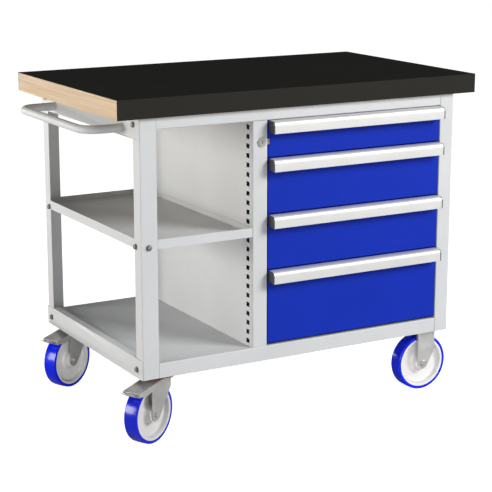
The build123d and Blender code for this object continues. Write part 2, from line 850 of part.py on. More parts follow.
def swivel_fork(plane):
    """A hooded fork: its top slopes back over the wheel and its cheeks drop to the axle."""
    end_x = -hood_end
    low_z = fork_top - hood_drop
    slope = hood_drop / (hood_end - hood_start)
    foot = (-castor_trail, wheel_z)
    foot_back = -castor_trail - fork_foot_radius
    shoulder = (cheek_front, fork_top - cheek_shoulder)
    cheek = [
        (cheek_front, fork_top),
        (-hood_start, fork_top),
        (end_x, low_z),
        (end_x, low_z - hood_lip),
        (end_x + hood_nose_run, low_z - hood_nose_drop),
        (end_x + hood_heel_run, low_z - hood_heel_drop),
        (foot_back, low_z - hood_depth),
        (foot_back, foot[1]),
        foot,
        tangent_point(foot, fork_foot_radius, shoulder),
        shoulder,
    ]
    past_end = (end_x - hood_nose_run, low_z - fork_sheet - hood_nose_run * slope)
    inside = [
        (head_radius, fork_top - fork_sheet),
        (-hood_start, fork_top - fork_sheet),
        past_end,
        (past_end[0], 0),
        (head_radius, 0),
    ]
    with BuildPart() as fork:
        with BuildSketch(side_view(plane, fork_outer / 2)):
            with BuildLine():
                Polyline(*cheek, close=True)
            make_face()
            with Locations(foot):
                Circle(fork_foot_radius)
        extrude(amount=fork_outer)
        with BuildSketch(side_view(plane, fork_gap / 2)):
            with BuildLine():
                Polyline(*inside, close=True)
            make_face()
        extrude(amount=fork_gap, mode=Mode.SUBTRACT)
        with BuildSketch(level_plane(plane, fork_top)):
            Circle(head_radius)
        extrude(amount=-fork_sheet)
        with BuildSketch(level_plane(plane, fork_top)):
            Circle(kingpin_radius + running_gap)
        extrude(amount=-fork_sheet, mode=Mode.SUBTRACT)
        with BuildSketch(axle_view(plane, castor_trail)):
            Circle(axle_radius)
        extrude(amount=fork_outer, both=True, mode=Mode.SUBTRACT)
        with BuildSketch(lever_view(plane)):
            Circle(lever_pin_radius)
        extrude(amount=fork_outer, both=True, mode=Mode.SUBTRACT)
    return fork.part


def lever_view(plane):
    """The side view, moved onto the brake lever's pin."""
    origin = plane.from_local_coords(Vector(-lever_pin_back, 0, lever_pin_z))
    return Plane(origin=origin, x_dir=plane.x_dir, z_dir=-plane.y_dir)


def brake_lever(plane):
    """The foot lever: a tube on its pin, a blade to step on and a shoe towards the tyre."""
    view = lever_view(plane)
    tip_z = lever_rise - lever_boss
    blade = [
        (0, -lever_boss),
        (-lever_blade_start, -lever_boss),
        (-lever_tip, tip_z - lever_sheet),
        (-lever_tip, tip_z),
        (-lever_blade_start, -lever_boss + lever_sheet),
        (0, -lever_boss + lever_sheet),
    ]
    with BuildPart() as lever:
        with BuildSketch(view):
            Circle(lever_boss)
            with BuildLine():
                Polyline(
                    (0, -lever_boss), (lever_shoe, -lever_boss - lever_shoe),
                    (-lever_shoe, -lever_boss - lever_shoe), (-lever_boss, 0), close=True,
                )
            make_face()
        extrude(amount=lever_width / 2, both=True)
        with BuildSketch(view):
            with BuildLine():
                Polyline(*blade, close=True)
            make_face()
        extrude(amount=lever_blade_width / 2, both=True)
        with BuildSketch(view):
            Circle(lever_pin_radius + running_gap)
        extrude(amount=lever_width, both=True, mode=Mode.SUBTRACT)
    return lever.part


def pin_set(plane, trail, with_lever_pin):
    """The axle bolt with its nut, and the lever's pin where the castor has a brake."""
    half = fork_outer / 2
    view = axle_view(plane, trail)
    with BuildPart() as pins:
        with BuildSketch(view.offset(-half)):
            Circle(axle_radius)
        extrude(amount=fork_outer)
        for face, direction in ((view.offset(half), 1), (view.offset(-half), -1)):
            with BuildSketch(face):
                RegularPolygon(axle_head_radius, 6)
            extrude(amount=direction * axle_head_height)
        if with_lever_pin:
            with BuildSketch(lever_view(plane).offset(-half)):
                Circle(lever_pin_radius)
            extrude(amount=fork_outer)
    return pins.part


def castor_top_plate(plane):
    """The swivel castor's plate, with its ball race and king pin under it."""
    level = Plane.XY.offset(castor_top).move(Location(plane.origin))
    race = level.offset(-plate_thickness)
    pin = race.offset(-race_height)
    nut = pin.offset(-2 * face_gap - fork_sheet)
    with BuildPart() as plate:
        with BuildSketch(level):
            RectangleRounded(plate_length, plate_width, bend_radius * 2)
            with GridLocations(plate_hole_x, plate_hole_y, 2, 2):
                Circle(hole_radius, mode=Mode.SUBTRACT)
        extrude(amount=-plate_thickness)
        with BuildSketch(race):
            Circle(race_radius)
        extrude(amount=-race_height)
        with BuildSketch(pin):
            Circle(kingpin_radius)
        extrude(amount=-2 * face_gap - fork_sheet)
        with BuildSketch(nut):
            RegularPolygon(kingpin_nut_radius, 6)
        extrude(amount=-kingpin_nut_height)
    return plate.part


def fixed_fork(plane):
    """A fixed castor's fork: a top plate and two tapering cheeks."""
    top = castor_top - plate_thickness
    with BuildPart() as fork:
        with BuildSketch(side_view(plane, fork_outer / 2)):
            with Locations((0, wheel_z)):
                Circle(fork_foot_radius)
            with Locations((0, top - cheek_shoulder / 2)):
                Rectangle(fixed_fork_width, cheek_shoulder)
            make_hull()
        extrude(amount=fork_outer)
        with BuildSketch(side_view(plane, fork_gap / 2)):
            with Locations((0, top - fork_sheet - castor_top / 2)):
                Rectangle(plate_length, castor_top)
        extrude(amount=fork_gap, mode=Mode.SUBTRACT)
        with BuildSketch(level_plane(plane, castor_top)):
            RectangleRounded(plate_length, plate_width, bend_radius * 2)
            with GridLocations(plate_hole_x, plate_hole_y, 2, 2):
                Circle(hole_radius, mode=Mode.SUBTRACT)
        extrude(amount=-plate_thickness)
        with BuildSketch(axle_view(plane, 0)):
            Circle(axle_radius)
        extrude(amount=fork_outer, both=True, mode=Mode.SUBTRACT)
    return fork.part


def make_castors():
    """Two braked swivel castors at the handle end and two fixed castors under the drawers."""
    swivels = {
        "front": castor_plane(left + swivel_inset_x, front_castor_y, swivel_angle),
        "rear": castor_plane(left + swivel_inset_x, rear_castor_y, swivel_angle),
    }
    fixed = {
        "front": castor_plane(right - fixed_inset_x, front_castor_y, 0),
        "rear": castor_plane(right - fixed_inset_x, rear_castor_y, 0),
    }
    for place, plane in swivels.items():
        save(castor_top_plate(plane), f"swivel_{place}_plate")
        save(swivel_fork(plane), f"swivel_{place}_fork")
        save(pin_set(plane, castor_trail, True), f"swivel_{place}_pins")
        save(wheel_rim(plane, castor_trail), f"swivel_{place}_rim")
        save(wheel_tyre(plane, castor_trail), f"swivel_{place}_tyre")
        save(brake_lever(plane), f"swivel_{place}_lever")
    for place, plane in fixed.items():
        save(fixed_fork(plane), f"fixed_{place}_fork")
        save(wheel_rim(plane, 0), f"fixed_{place}_rim")
        save(wheel_tyre(plane, 0), f"fixed_{place}_tyre")
    with BuildPart() as fixed_axles:
        for plane in fixed.values():
            add(pin_set(plane, 0, False))
    save(fixed_axles.part, "fixed_axles")
    with BuildPart() as castor_seals:
        for plane in swivels.values():
            with BuildSketch(level_plane(plane, castor_top - plate_thickness)):
                Circle(seal_radius)
                Circle(race_radius + seal_gap, mode=Mode.SUBTRACT)
            extrude(amount=-race_height)
    save(castor_seals.part, "castor_seals")
    with BuildPart() as castor_bolts:
        for plane in list(swivels.values()) + list(fixed.values()):
            for dx in (-plate_hole_x / 2, plate_hole_x / 2):
                for dy in (-plate_hole_y / 2, plate_hole_y / 2):
                    foot = plane.origin + Vector(dx, dy, castor_top - plate_thickness)
                    down = Plane(origin=foot, x_dir=(1, 0, 0), z_dir=(0, 0, -1))
                    add(bolt_solid(down, bolt_length, plate_thickness + heavy_sheet))
    save(castor_bolts.part, "castor_bolts")


# ---------------------------------------------------------------------------
# Build everything
# ---------------------------------------------------------------------------
levels = drawer_levels()
make_worktop()
make_leg("leg_front_left", front, 1)
make_leg("leg_rear_left", rear, -1)
make_side_plate("upper_side_plate", (top_z - upper_side_height, top_z), upper_bolts)
make_side_plate("base_side_plate", (base_z, base_z + base_side_height), base_bolts)
make_rails()
make_base_tray()
make_castor_supports()
make_shelf()
make_divider()
make_right_side()
make_back()
make_push_handle()
make_frame_bolts()
make_lock()
for number, (low, high) in enumerate(levels, 1):
    make_drawer(number, low, high)
make_slides(levels)
make_castors()
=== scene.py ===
"""Mobile workbench with drawers: finished surfaces, fittings and studio around its fixed frame."""

import json
import math

import bmesh
import bpy
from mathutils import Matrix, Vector


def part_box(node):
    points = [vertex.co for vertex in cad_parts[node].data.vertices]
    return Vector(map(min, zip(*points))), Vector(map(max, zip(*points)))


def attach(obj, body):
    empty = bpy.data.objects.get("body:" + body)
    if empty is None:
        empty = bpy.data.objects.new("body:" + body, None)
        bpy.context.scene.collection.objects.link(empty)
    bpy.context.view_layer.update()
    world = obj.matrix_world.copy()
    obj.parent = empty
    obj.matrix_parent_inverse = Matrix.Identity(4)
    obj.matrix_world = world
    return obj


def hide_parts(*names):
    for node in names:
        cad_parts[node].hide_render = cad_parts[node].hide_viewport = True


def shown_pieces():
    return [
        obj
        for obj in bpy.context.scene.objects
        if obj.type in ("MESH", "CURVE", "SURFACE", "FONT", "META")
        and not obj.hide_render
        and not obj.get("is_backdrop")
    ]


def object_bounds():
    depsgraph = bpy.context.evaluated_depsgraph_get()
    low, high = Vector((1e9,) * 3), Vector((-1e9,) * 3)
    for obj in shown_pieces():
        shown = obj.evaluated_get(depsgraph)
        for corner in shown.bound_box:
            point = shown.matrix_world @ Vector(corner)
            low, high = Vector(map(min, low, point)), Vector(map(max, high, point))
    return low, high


bl_info = {
    "name": "Mobile Workbench",
    "version": (1, 0, 0),
    "blender": (4, 5, 0),
    "location": "View3D > Sidebar > Workbench",
    "description": "Builds the finished pieces of a mobile workbench with drawers",
    "category": "Object",
}

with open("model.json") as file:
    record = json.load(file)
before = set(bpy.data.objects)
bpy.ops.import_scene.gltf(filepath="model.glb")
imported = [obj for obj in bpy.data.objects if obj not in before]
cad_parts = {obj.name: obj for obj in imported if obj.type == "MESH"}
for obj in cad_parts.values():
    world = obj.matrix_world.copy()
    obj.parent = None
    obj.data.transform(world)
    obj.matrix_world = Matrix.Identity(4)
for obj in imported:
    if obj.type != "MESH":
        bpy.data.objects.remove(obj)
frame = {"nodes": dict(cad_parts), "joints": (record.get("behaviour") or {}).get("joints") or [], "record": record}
CAD_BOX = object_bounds()

MM = 0.001
MERGE_DISTANCE = 0.004 * MM
WASHER_SLACK = 0.2 * MM
CREASE = math.radians(35.0)
WHITE = (1.0, 1.0, 1.0)
CASTORS = ("swivel_front", "swivel_rear", "fixed_front", "fixed_rear")
SWIVELS = ("swivel_front", "swivel_rear")
DRAWERS = (1, 2, 3, 4)
BODY_OF = {
    node: body
    for body, nodes in frame["record"]["behaviour"]["bodies"].items()
    for node in nodes
}
JOINT = {joint["name"]: joint for joint in frame["joints"]}


# ---------------------------------------------------------------------------
# Sizes and colours that a user would change
# ---------------------------------------------------------------------------
def tone(red, green, blue):
    """A display colour, given from 0 to 255, as the linear values that shaders take."""
    shares = [level / 255 for level in (red, green, blue)]
    return tuple(s / 12.92 if s <= 0.04045 else ((s + 0.055) / 1.055) ** 2.4 for s in shares)


def colour_setting(label, about, display):
    """A colour property whose default is a display colour."""
    return bpy.props.FloatVectorProperty(
        name=label, description=about, subtype="COLOR", size=3, min=0.0, max=1.0, default=tone(*display)
    )


def length_setting(label, about, millimetres):
    """A length property whose default is given in millimetres."""
    return bpy.props.FloatProperty(
        name=label, description=about, unit="LENGTH", min=0.0, precision=5, default=millimetres * MM
    )


def number_setting(label, about, value):
    """A plain number property."""
    return bpy.props.FloatProperty(name=label, description=about, default=value)


class WorkbenchColours(bpy.types.PropertyGroup):
    """The colours of the bench's paints, plastics, metals and worktop."""

    frame_grey: colour_setting("Frame grey", "Powder coat of the carcass and shelves", (198, 200, 201))
    drawer_blue: colour_setting("Drawer blue", "Powder coat of the drawer fronts", (10, 42, 164))
    covering_black: colour_setting("Covering black", "Fine-textured covering of the worktop", (38, 37, 33))
    beech_light: colour_setting("Beech, light", "Early wood of the board's ends", (203, 178, 144))
    beech_dark: colour_setting("Beech, dark", "Late wood of the board's ends", (180, 151, 115))
    aluminium: colour_setting("Aluminium", "Anodised grips", (212, 212, 210))
    cap_grey: colour_setting("Cap grey", "Moulded plugs in the ends of the grips", (58, 60, 62))
    tyre_blue: colour_setting("Tyre blue", "Polyurethane treads", (0, 24, 192))
    wheel_grey: colour_setting("Wheel grey", "Polyamide wheel centres", (196, 195, 194))
    zinc: colour_setting("Zinc", "Plating on the castors and slides", (196, 196, 194))
    bolt_zinc: colour_setting("Bolt zinc", "Plating on the screws and nuts", (132, 132, 130))
    seal_red: colour_setting("Seal red", "Dust seals of the swivel castors", (190, 24, 34))
    nickel: colour_setting("Nickel", "Plating on the lock", (172, 171, 168))


class WorkbenchSizes(bpy.types.PropertyGroup):
    """The small sizes that the finished pieces add to the frame's own."""

    sheet_edge: length_setting("Sheet edge", "Rounding on the edges of folded sheet", 0.45)
    pressed_edge: length_setting("Pressed edge", "Rounding on the edges of pressed castor parts", 0.7)
    moulded_edge: length_setting("Moulded edge", "Rounding on the edges of moulded plugs", 0.6)
    board_edge: length_setting("Board edge", "Rounding on the edges of the wooden board", 0.8)
    head_radius: length_setting("Head radius", "Across the corners of each hexagon head, halved", 6.4)
    head_height: length_setting("Head height", "Height of each hexagon head", 4.2)
    washer_radius: length_setting("Washer radius", "Outer radius of each washer", 8.0)
    washer_thickness: length_setting("Washer thickness", "Thickness of each washer", 1.5)
    shank_radius: length_setting("Shank radius", "Radius of each screw's shank", 3.0)
    grip_wall: length_setting("Grip wall", "Wall of the extruded grip profile", 2.5)
    grip_nose: length_setting("Grip nose", "Outer radius of the grip's rounded nose", 13.0)
    grip_flange: length_setting("Grip flange", "Height of the flange's lower edge over the nose's", 5.0)
    handle_radius: length_setting("Handle radius", "Radius of the push handle's tube", 11.0)
    handle_bend: length_setting("Handle bend", "Centreline radius of the handle's two bends", 46.0)
    weld_width: length_setting("Weld width", "Width of the weld bead round each foot of the handle", 2.4)
    rim_bead: length_setting("Rim bead", "Width of the bright bead beside each tyre", 5.5)
    hub_round: length_setting("Hub rounding", "Rounding on the face of each hub", 3.0)
    turning_steps: bpy.props.IntProperty(
        name="Turning steps", description="Sides of each turned wheel part", min=24, max=256, default=120
    )


class WorkbenchStudio(bpy.types.PropertyGroup):
    """Where the camera stands and how the studio is lit."""

    aim: bpy.props.FloatVectorProperty(
        name="Aim", description="Point that the camera looks at", subtype="XYZ", unit="LENGTH", size=3,
        default=(0.011, -0.0155, 0.418),
    )
    azimuth: bpy.props.FloatProperty(
        name="Azimuth", description="Camera's turn round the bench from its front", subtype="ANGLE",
        default=math.radians(-29.43),
    )
    elevation: bpy.props.FloatProperty(
        name="Elevation", description="Camera's height over the horizon", subtype="ANGLE",
        default=math.radians(13.3),
    )
    distance: bpy.props.FloatProperty(
        name="Distance", description="From the camera to its aim", unit="LENGTH", default=4.386
    )
    lens: number_setting("Lens", "Focal length in millimetres", 113.5)
    floor_white: colour_setting("Floor white", "The studio's floor", (200, 200, 200))
    sky_strength: number_setting("Sky", "Strength of the even light", 0.16)
    key_power: number_setting("Key", "Power of the right front softbox", 345.0)
    side_power: number_setting("Side", "Power of the left softbox", 84.0)
    rear_power: number_setting("Rear", "Power of the light behind", 60.0)
    front_power: number_setting("Low front", "Power of the low light in front", 38.0)
    castor_power: number_setting("Castor fill", "Power on the shaded castors", 75.0)
    floor_glow: number_setting("Floor glow", "Light added to the seen floor", 0.9)


def colours():
    """The colour settings in use."""
    return bpy.context.scene.workbench_colours


def sizes():
    """The size settings in use."""
    return bpy.context.scene.workbench_sizes


# ---------------------------------------------------------------------------
# Finishes
# ---------------------------------------------------------------------------
class FinishTree:
    """A new material, with short ways to add its nodes and join them."""

    def __init__(self, name, roughness, metallic=0.0, gloss=()):
        self.material = bpy.data.materials.new(name)
        self.material.use_nodes = True
        self.nodes = self.material.node_tree.nodes
        self.links = self.material.node_tree.links
        self.shader = self.nodes["Principled BSDF"]
        self.shader.inputs["Roughness"].default_value = roughness
        self.shader.inputs["Metallic"].default_value = metallic
        for socket, value in gloss:
            self.shader.inputs[socket].default_value = value
        coordinates = self.add("ShaderNodeTexCoord").outputs
        self.place = coordinates["Object"]
        self.facing = coordinates["Normal"]

    def add(self, kind, inputs=None, **settings):
        """Add a node; an input may be a value or another node's output."""
        node = self.nodes.new(kind)
        for setting, value in settings.items():
            setattr(node, setting, value)
        for socket, value in (inputs or {}).items():
            if isinstance(value, bpy.types.NodeSocket):
                self.links.new(value, node.inputs[socket])
            else:
                node.inputs[socket].default_value = value
        return node

    def stretched(self, scale):
        """Object coordinates multiplied along each axis, for grain that runs one way."""
        return self.add("ShaderNodeMapping", {"Vector": self.place, "Scale": scale}).outputs["Vector"]

    def noise(self, scale, detail=2.0, place=None, distortion=0.0):
        """A soft random pattern with that many features in a metre."""
        values = {"Vector": place or self.place, "Scale": scale, "Detail": detail, "Distortion": distortion}
        return self.add("ShaderNodeTexNoise", values).outputs[0]

    def cells(self, scale):
        """A pattern of random cells with that many in a metre, rising from each one's middle."""
        values = {"Vector": self.place, "Scale": scale}
        return self.add("ShaderNodeTexVoronoi", values, feature="F1").outputs["Distance"]

    def spread(self, pattern, low, high, pattern_low=0.3, pattern_high=0.7):
        """Map a pattern onto a range of values."""
        values = {
            "Value": pattern, "From Min": pattern_low, "From Max": pattern_high, "To Min": low, "To Max": high
        }
        return self.add("ShaderNodeMapRange", values).outputs["Result"]

    def blend(self, pattern, first, second, start=0.3, end=0.7):
        """A colour that runs from the first to the second as the pattern rises."""
        ramp = self.add("ShaderNodeValToRGB", {"Fac": pattern})
        for element, colour, position in zip(ramp.color_ramp.elements, (first, second), (start, end)):
            element.color = (*colour, 1.0)
            element.position = position
        return ramp.outputs["Color"]

    def multiply(self, first, second):
        """One pattern times another."""
        return self.add("ShaderNodeMath", {0: first, 1: second}, operation="MULTIPLY").outputs["Value"]

    def paint(self, colour):
        """Join a colour to the shader."""
        self.links.new(colour, self.shader.inputs["Base Color"])

    def dull(self, roughness):
        """Join a roughness to the shader."""
        self.links.new(roughness, self.shader.inputs["Roughness"])

    def relief(self, *layers):
        """Join bump layers to the shader; each is (pattern, height, strength)."""
        normal = None
        for pattern, height, strength in layers:
            values = {"Height": pattern, "Distance": height, "Strength": strength}
            if normal is not None:
                values["Normal"] = normal
            normal = self.add("ShaderNodeBump", values).outputs["Normal"]
        self.links.new(normal, self.shader.inputs["Normal"])


def shade(colour, factor):
    """A colour made darker or lighter by a factor."""
    return tuple(min(1.0, channel * factor) for channel in colour)


def powder_coat(name, colour, roughness, peel=0.25, gloss=0.35):
    """Baked powder paint: an orange-peel skin with faint clouds in its colour and gloss."""
    tree = FinishTree(name, roughness, gloss=[("Specular IOR Level", gloss)])
    clouds = tree.noise(5.0, detail=4.0)
    tree.paint(tree.blend(clouds, shade(colour, 0.955), shade(colour, 1.03)))
    tree.dull(tree.spread(tree.noise(38.0, detail=3.0), roughness - 0.05, roughness + 0.06))
    tree.relief(
        (tree.noise(240.0, detail=1.0), 0.10 * MM, peel),
        (tree.noise(1500.0, detail=2.0), 0.05 * MM, peel),
    )
    return tree.material


def worktop_covering(name, colour):
    """A matt covering with a fine leathery grain and slight rubbed patches, and painted shade that darkens the
    faces pointing up.
    """
    tree = FinishTree(name, 0.8, gloss=[("Specular IOR Level", 0.12)])
    rubbed = tree.noise(3.2, detail=5.0, distortion=0.6)
    # Painted shade: the more a face points up, the darker its colour, down to 0.3 of it on the top, as if little
    # light fell from above.
    painted_top_shade = tree.add("ShaderNodeSeparateXYZ", {"Vector": tree.facing}).outputs["Z"]
    level = tree.add("ShaderNodeMath", {0: tree.spread(rubbed, -0.12, 0.12), 1: painted_top_shade}, operation="ADD")
    tree.paint(tree.blend(level.outputs["Value"], colour, shade(colour, 0.3), 0.0, 1.0))
    tree.dull(tree.spread(rubbed, 0.85, 0.72))
    tree.relief(
        (tree.cells(700.0), 0.14 * MM, 0.55),
        (tree.noise(2600.0, detail=2.0), 0.05 * MM, 0.35),
    )
    return tree.material


def beech(name, light, dark):
    """Oiled beech with its grain along Y: broad bands, fine lines, and short dark flecks."""
    tree = FinishTree(name, 0.5, gloss=[("Specular IOR Level", 0.35)])
    bands = tree.noise(1.0, detail=3.0, place=tree.stretched((9.0, 0.9, 46.0)), distortion=0.5)
    lines = tree.noise(1.0, detail=4.0, place=tree.stretched((60.0, 3.0, 300.0)), distortion=0.3)
    flecks = tree.noise(1.0, detail=2.0, place=tree.stretched((600.0, 60.0, 900.0)))
    tree.paint(tree.add(
        "ShaderNodeMixRGB",
        {
            "Fac": tree.spread(lines, 0.0, 0.85, 0.4, 0.66),
            "Color1": tree.blend(bands, light, shade(light, 0.9), 0.35, 0.65),
            "Color2": tree.blend(flecks, dark, shade(dark, 0.82), 0.35, 0.65),
        },
    ).outputs["Color"])
    tree.dull(tree.spread(lines, 0.44, 0.58))
    tree.relief((lines, 0.12 * MM, 0.3), (flecks, 0.05 * MM, 0.25))
    return tree.material


def anodised_aluminium(name, colour):
    """Satin anodised extrusion with faint drawing lines along X."""
    tree = FinishTree(name, 0.5, metallic=0.35)
    lines = tree.noise(1.0, detail=4.0, place=tree.stretched((3.0, 1400.0, 1400.0)))
    tree.paint(tree.blend(tree.noise(9.0, detail=2.0), shade(colour, 0.95), shade(colour, 1.02)))
    tree.dull(tree.spread(lines, 0.42, 0.55))
    tree.relief((lines, 0.03 * MM, 0.35))
    return tree.material


def moulded_plastic(name, colour, roughness, grain=0.3):
    """Injection-moulded plastic with a fine spark-eroded grain."""
    tree = FinishTree(name, roughness)
    tree.paint(tree.blend(tree.noise(28.0, detail=3.0), shade(colour, 0.94), shade(colour, 1.05)))
    tree.dull(tree.spread(tree.noise(90.0, detail=2.0), roughness - 0.05, roughness + 0.07))
    tree.relief((tree.noise(1900.0, detail=2.0), 0.05 * MM, grain))
    return tree.material


def polyurethane(name, colour):
    """A glossy cast tread with slow waves and faint dull patches."""
    tree = FinishTree(name, 0.17, gloss=[("Specular IOR Level", 0.3)])
    tree.paint(tree.blend(tree.noise(14.0, detail=3.0), shade(colour, 0.9), shade(colour, 1.06)))
    tree.dull(tree.spread(tree.noise(40.0, detail=3.0), 0.14, 0.22))
    tree.relief((tree.noise(26.0, detail=1.0), 0.08 * MM, 0.12))
    return tree.material


def plated_steel(name, colour, roughness, spangle=140.0, metallic=0.85):
    """Zinc or nickel plate on pressed steel: soft spangles, clouds and fine rolling marks."""
    tree = FinishTree(name, roughness, metallic=metallic)
    flakes = tree.cells(spangle)
    clouds = tree.noise(24.0, detail=4.0)
    warm = (colour[0], colour[1] * 0.985, colour[2] * 0.95)
    tree.paint(tree.blend(clouds, shade(warm, 0.88), shade(colour, 1.07)))
    tree.dull(tree.spread(flakes, roughness - 0.08, roughness + 0.1, 0.0, 0.7))
    tree.relief((flakes, 0.03 * MM, 0.2), (tree.noise(1300.0, detail=2.0), 0.03 * MM, 0.3))
    return tree.material


def studio_floor(name, colour, glow):
    """The pale floor, with the faintest clouding, and a glow that softens the shadows seen on it."""
    tree = FinishTree(name, 0.8, gloss=[("Specular IOR Level", 0.1), ("Emission Color", (1.0,) * 4)])
    tree.paint(tree.blend(tree.noise(1.5, detail=2.0), shade(colour, 0.98), colour))
    seen = tree.add("ShaderNodeLightPath").outputs["Is Camera Ray"]
    tree.links.new(tree.multiply(seen, glow), tree.shader.inputs["Emission Strength"])
    return tree.material


def make_finishes():
    """Every material of the bench, by its slot in the record."""
    c = colours()
    return {
        "frame_paint": powder_coat("Grey powder coat", tuple(c.frame_grey), 0.48),
        "drawer_paint": powder_coat("Blue powder coat", tuple(c.drawer_blue), 0.5, peel=0.2, gloss=0.12),
        "drawer_box_paint": powder_coat("Drawer box powder coat", shade(c.frame_grey, 0.9), 0.52),
        "worktop_covering": worktop_covering("Black covering", tuple(c.covering_black)),
        "worktop_wood": beech("Oiled beech", tuple(c.beech_light), tuple(c.beech_dark)),
        "grip_aluminium": anodised_aluminium("Satin anodised aluminium", tuple(c.aluminium)),
        "cap_plastic": moulded_plastic("Dark moulded plastic", tuple(c.cap_grey), 0.5),
        "wheel_polyamide": moulded_plastic("Grey polyamide", tuple(c.wheel_grey), 0.42, grain=0.2),
        "wheel_tyre": polyurethane("Blue polyurethane", tuple(c.tyre_blue)),
        "castor_zinc": plated_steel("Zinc-plated pressings", tuple(c.zinc), 0.42),
        "slide_steel": plated_steel("Galvanised slides", shade(c.zinc, 0.92), 0.38, spangle=90.0),
        "bolt_steel": plated_steel("Zinc-plated screws", tuple(c.bolt_zinc), 0.36, spangle=300.0),
        "seal_red": moulded_plastic("Red seal", tuple(c.seal_red), 0.4),
        "lock_metal": plated_steel("Nickel-plated lock", tuple(c.nickel), 0.34, spangle=400.0, metallic=0.6),
    }


FINISHES = {}


def slot_of(node):
    """The record's material slot that a node is finished in."""
    endings = (
        ("_front", "drawer_paint" if node.startswith("drawer") else "frame_paint"),
        ("_grip", "grip_aluminium"),
        ("_end_caps", "cap_plastic"),
        ("_box", "drawer_box_paint"),
        ("_slides", "slide_steel"),
        ("cabinet_rails", "slide_steel"),
        ("castor_supports", "slide_steel"),
        ("_tyre", "wheel_tyre"),
        ("_rim", "wheel_polyamide"),
        ("_fork", "castor_zinc"),
        ("_lever", "castor_zinc"),
        ("_pins", "castor_zinc"),
        ("fixed_axles", "castor_zinc"),
        ("front_plate", "castor_zinc"),
        ("rear_plate", "castor_zinc"),
        ("_bolts", "bolt_steel"),
        ("castor_seals", "seal_red"),
        ("lock_cylinder", "lock_metal"),
        ("lock_housing", "lock_metal"),
        ("worktop_core", "worktop_wood"),
        ("worktop_cover", "worktop_covering"),
    )
    for ending, slot in endings:
        if node.endswith(ending):
            return slot
    return "frame_paint"


# ---------------------------------------------------------------------------
# Making pieces
# ---------------------------------------------------------------------------
def add_piece(name, mesh, node, *more_nodes):
    """Show a mesh in place of CAD nodes of one body, in the first one's finish."""
    piece = bpy.data.objects.new(name, mesh)
    bpy.context.scene.collection.objects.link(piece)
    mesh.materials.clear()
    mesh.materials.append(FINISHES[slot_of(node)])
    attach(piece, BODY_OF[node])
    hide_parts(node, *more_nodes)
    return piece


def smooth_round(mesh):
    """Shade a mesh smooth, apart from edges that turn by more than the crease."""
    mesh.shade_smooth()
    mesh.set_sharp_from_angle(angle=CREASE)


def finished_mesh(source, name):
    """The evaluated mesh of an object, after which the object and its modifiers are removed."""
    evaluated = source.evaluated_get(bpy.context.evaluated_depsgraph_get())
    mesh = bpy.data.meshes.new_from_object(evaluated)
    mesh.name = name
    bpy.data.objects.remove(source)
    return mesh


def eased_mesh(body, name, radius, shortest=6.0):
    """Turn a bmesh into a mesh whose longer sharp edges are rounded over."""
    sharp_angle = math.radians(25.0)
    weight = body.edges.layers.float.new("bevel_weight_edge")
    for face in body.faces:
        face.smooth = True
    for edge in body.edges:
        if len(edge.link_faces) != 2 or edge.calc_face_angle() < sharp_angle:
            continue
        if edge.calc_length() > shortest * MM:
            edge[weight] = 1.0
        else:
            edge.smooth = False
    mesh = bpy.data.meshes.new(name)
    body.to_mesh(mesh)
    body.free()
    source = bpy.data.objects.new(name, mesh)
    bpy.context.scene.collection.objects.link(source)
    bevel = source.modifiers.new("Rounded edges", "BEVEL")
    bevel.limit_method = "WEIGHT"
    bevel.width = radius
    bevel.segments = 3
    bevel.use_clamp_overlap = False
    flat = source.modifiers.new("Flat faces", "WEIGHTED_NORMAL")
    flat.weight = 100
    flat.keep_sharp = True
    return finished_mesh(source, name)


def rounded_copy(node, name, radius, shortest=6.0):
    """Replace a CAD node by a copy whose longer sharp edges are rounded over."""
    flat_angle = math.radians(0.6)
    body = bmesh.new()
    body.from_mesh(frame["nodes"][node].data)
    bmesh.ops.remove_doubles(body, verts=body.verts, dist=MERGE_DISTANCE)
    bmesh.ops.dissolve_limit(body, angle_limit=flat_angle, verts=body.verts, edges=body.edges)
    return add_piece(name, eased_mesh(body, name, radius, shortest), node)


def add_prism(body, outline, offset):
    """Add a closed prism to a bmesh: a flat outline drawn out along an offset."""
    near = [body.verts.new(point) for point in outline]
    far = [body.verts.new(point + offset) for point in outline]
    body.faces.new(near)
    body.faces.new(far[::-1])
    for index, corner in enumerate(near):
        body.faces.new((near[index - 1], far[index - 1], far[index], corner))


def joined_edges(points, radius, steps=8):
    """An open or closed outline's corner points with each corner rounded by its own radius."""
    count = len(points)
    rounded = []
    for index, (corner, reach) in enumerate(zip(points, radius)):
        if reach <= 0:
            rounded.append(Vector(corner))
            continue
        here = Vector(corner)
        before = here + (Vector(points[index - 1]) - here).normalized() * reach
        after = here + (Vector(points[(index + 1) % count]) - here).normalized() * reach
        for step in range(steps + 1):
            t = step / steps
            rounded.append(before * (1 - t) ** 2 + here * 2 * t * (1 - t) + after * t**2)
    return rounded


def turned(name, centre, axis, outline, steps, across=None):
    """A mesh turned about an axis; its closed outline holds (radius, side) points.

    A level axis needs no line across it, and an upright one does.
    """
    if across is None:
        across = axis.cross(Vector((0, 0, 1))).normalized()
    up = across.cross(axis).normalized()
    body = bmesh.new()
    rings = []
    for step in range(steps):
        angle = 2 * math.pi * step / steps
        spoke = across * math.cos(angle) + up * math.sin(angle)
        rings.append([body.verts.new(centre + spoke * radius + axis * side) for radius, side in outline])
    count = len(outline)
    for step, ring in enumerate(rings):
        following = rings[(step + 1) % steps]
        for index in range(count):
            beside = (index + 1) % count
            body.faces.new((ring[index], ring[beside], following[beside], following[index]))
    bmesh.ops.recalc_face_normals(body, faces=body.faces)
    mesh = bpy.data.meshes.new(name)
    body.to_mesh(mesh)
    body.free()
    smooth_round(mesh)
    return mesh


def joined(name, meshes):
    """Several meshes as one."""
    body = bmesh.new()
    for mesh in meshes:
        body.from_mesh(mesh)
        bpy.data.meshes.remove(mesh)
    mesh = bpy.data.meshes.new(name)
    body.to_mesh(mesh)
    body.free()
    smooth_round(mesh)
    return mesh


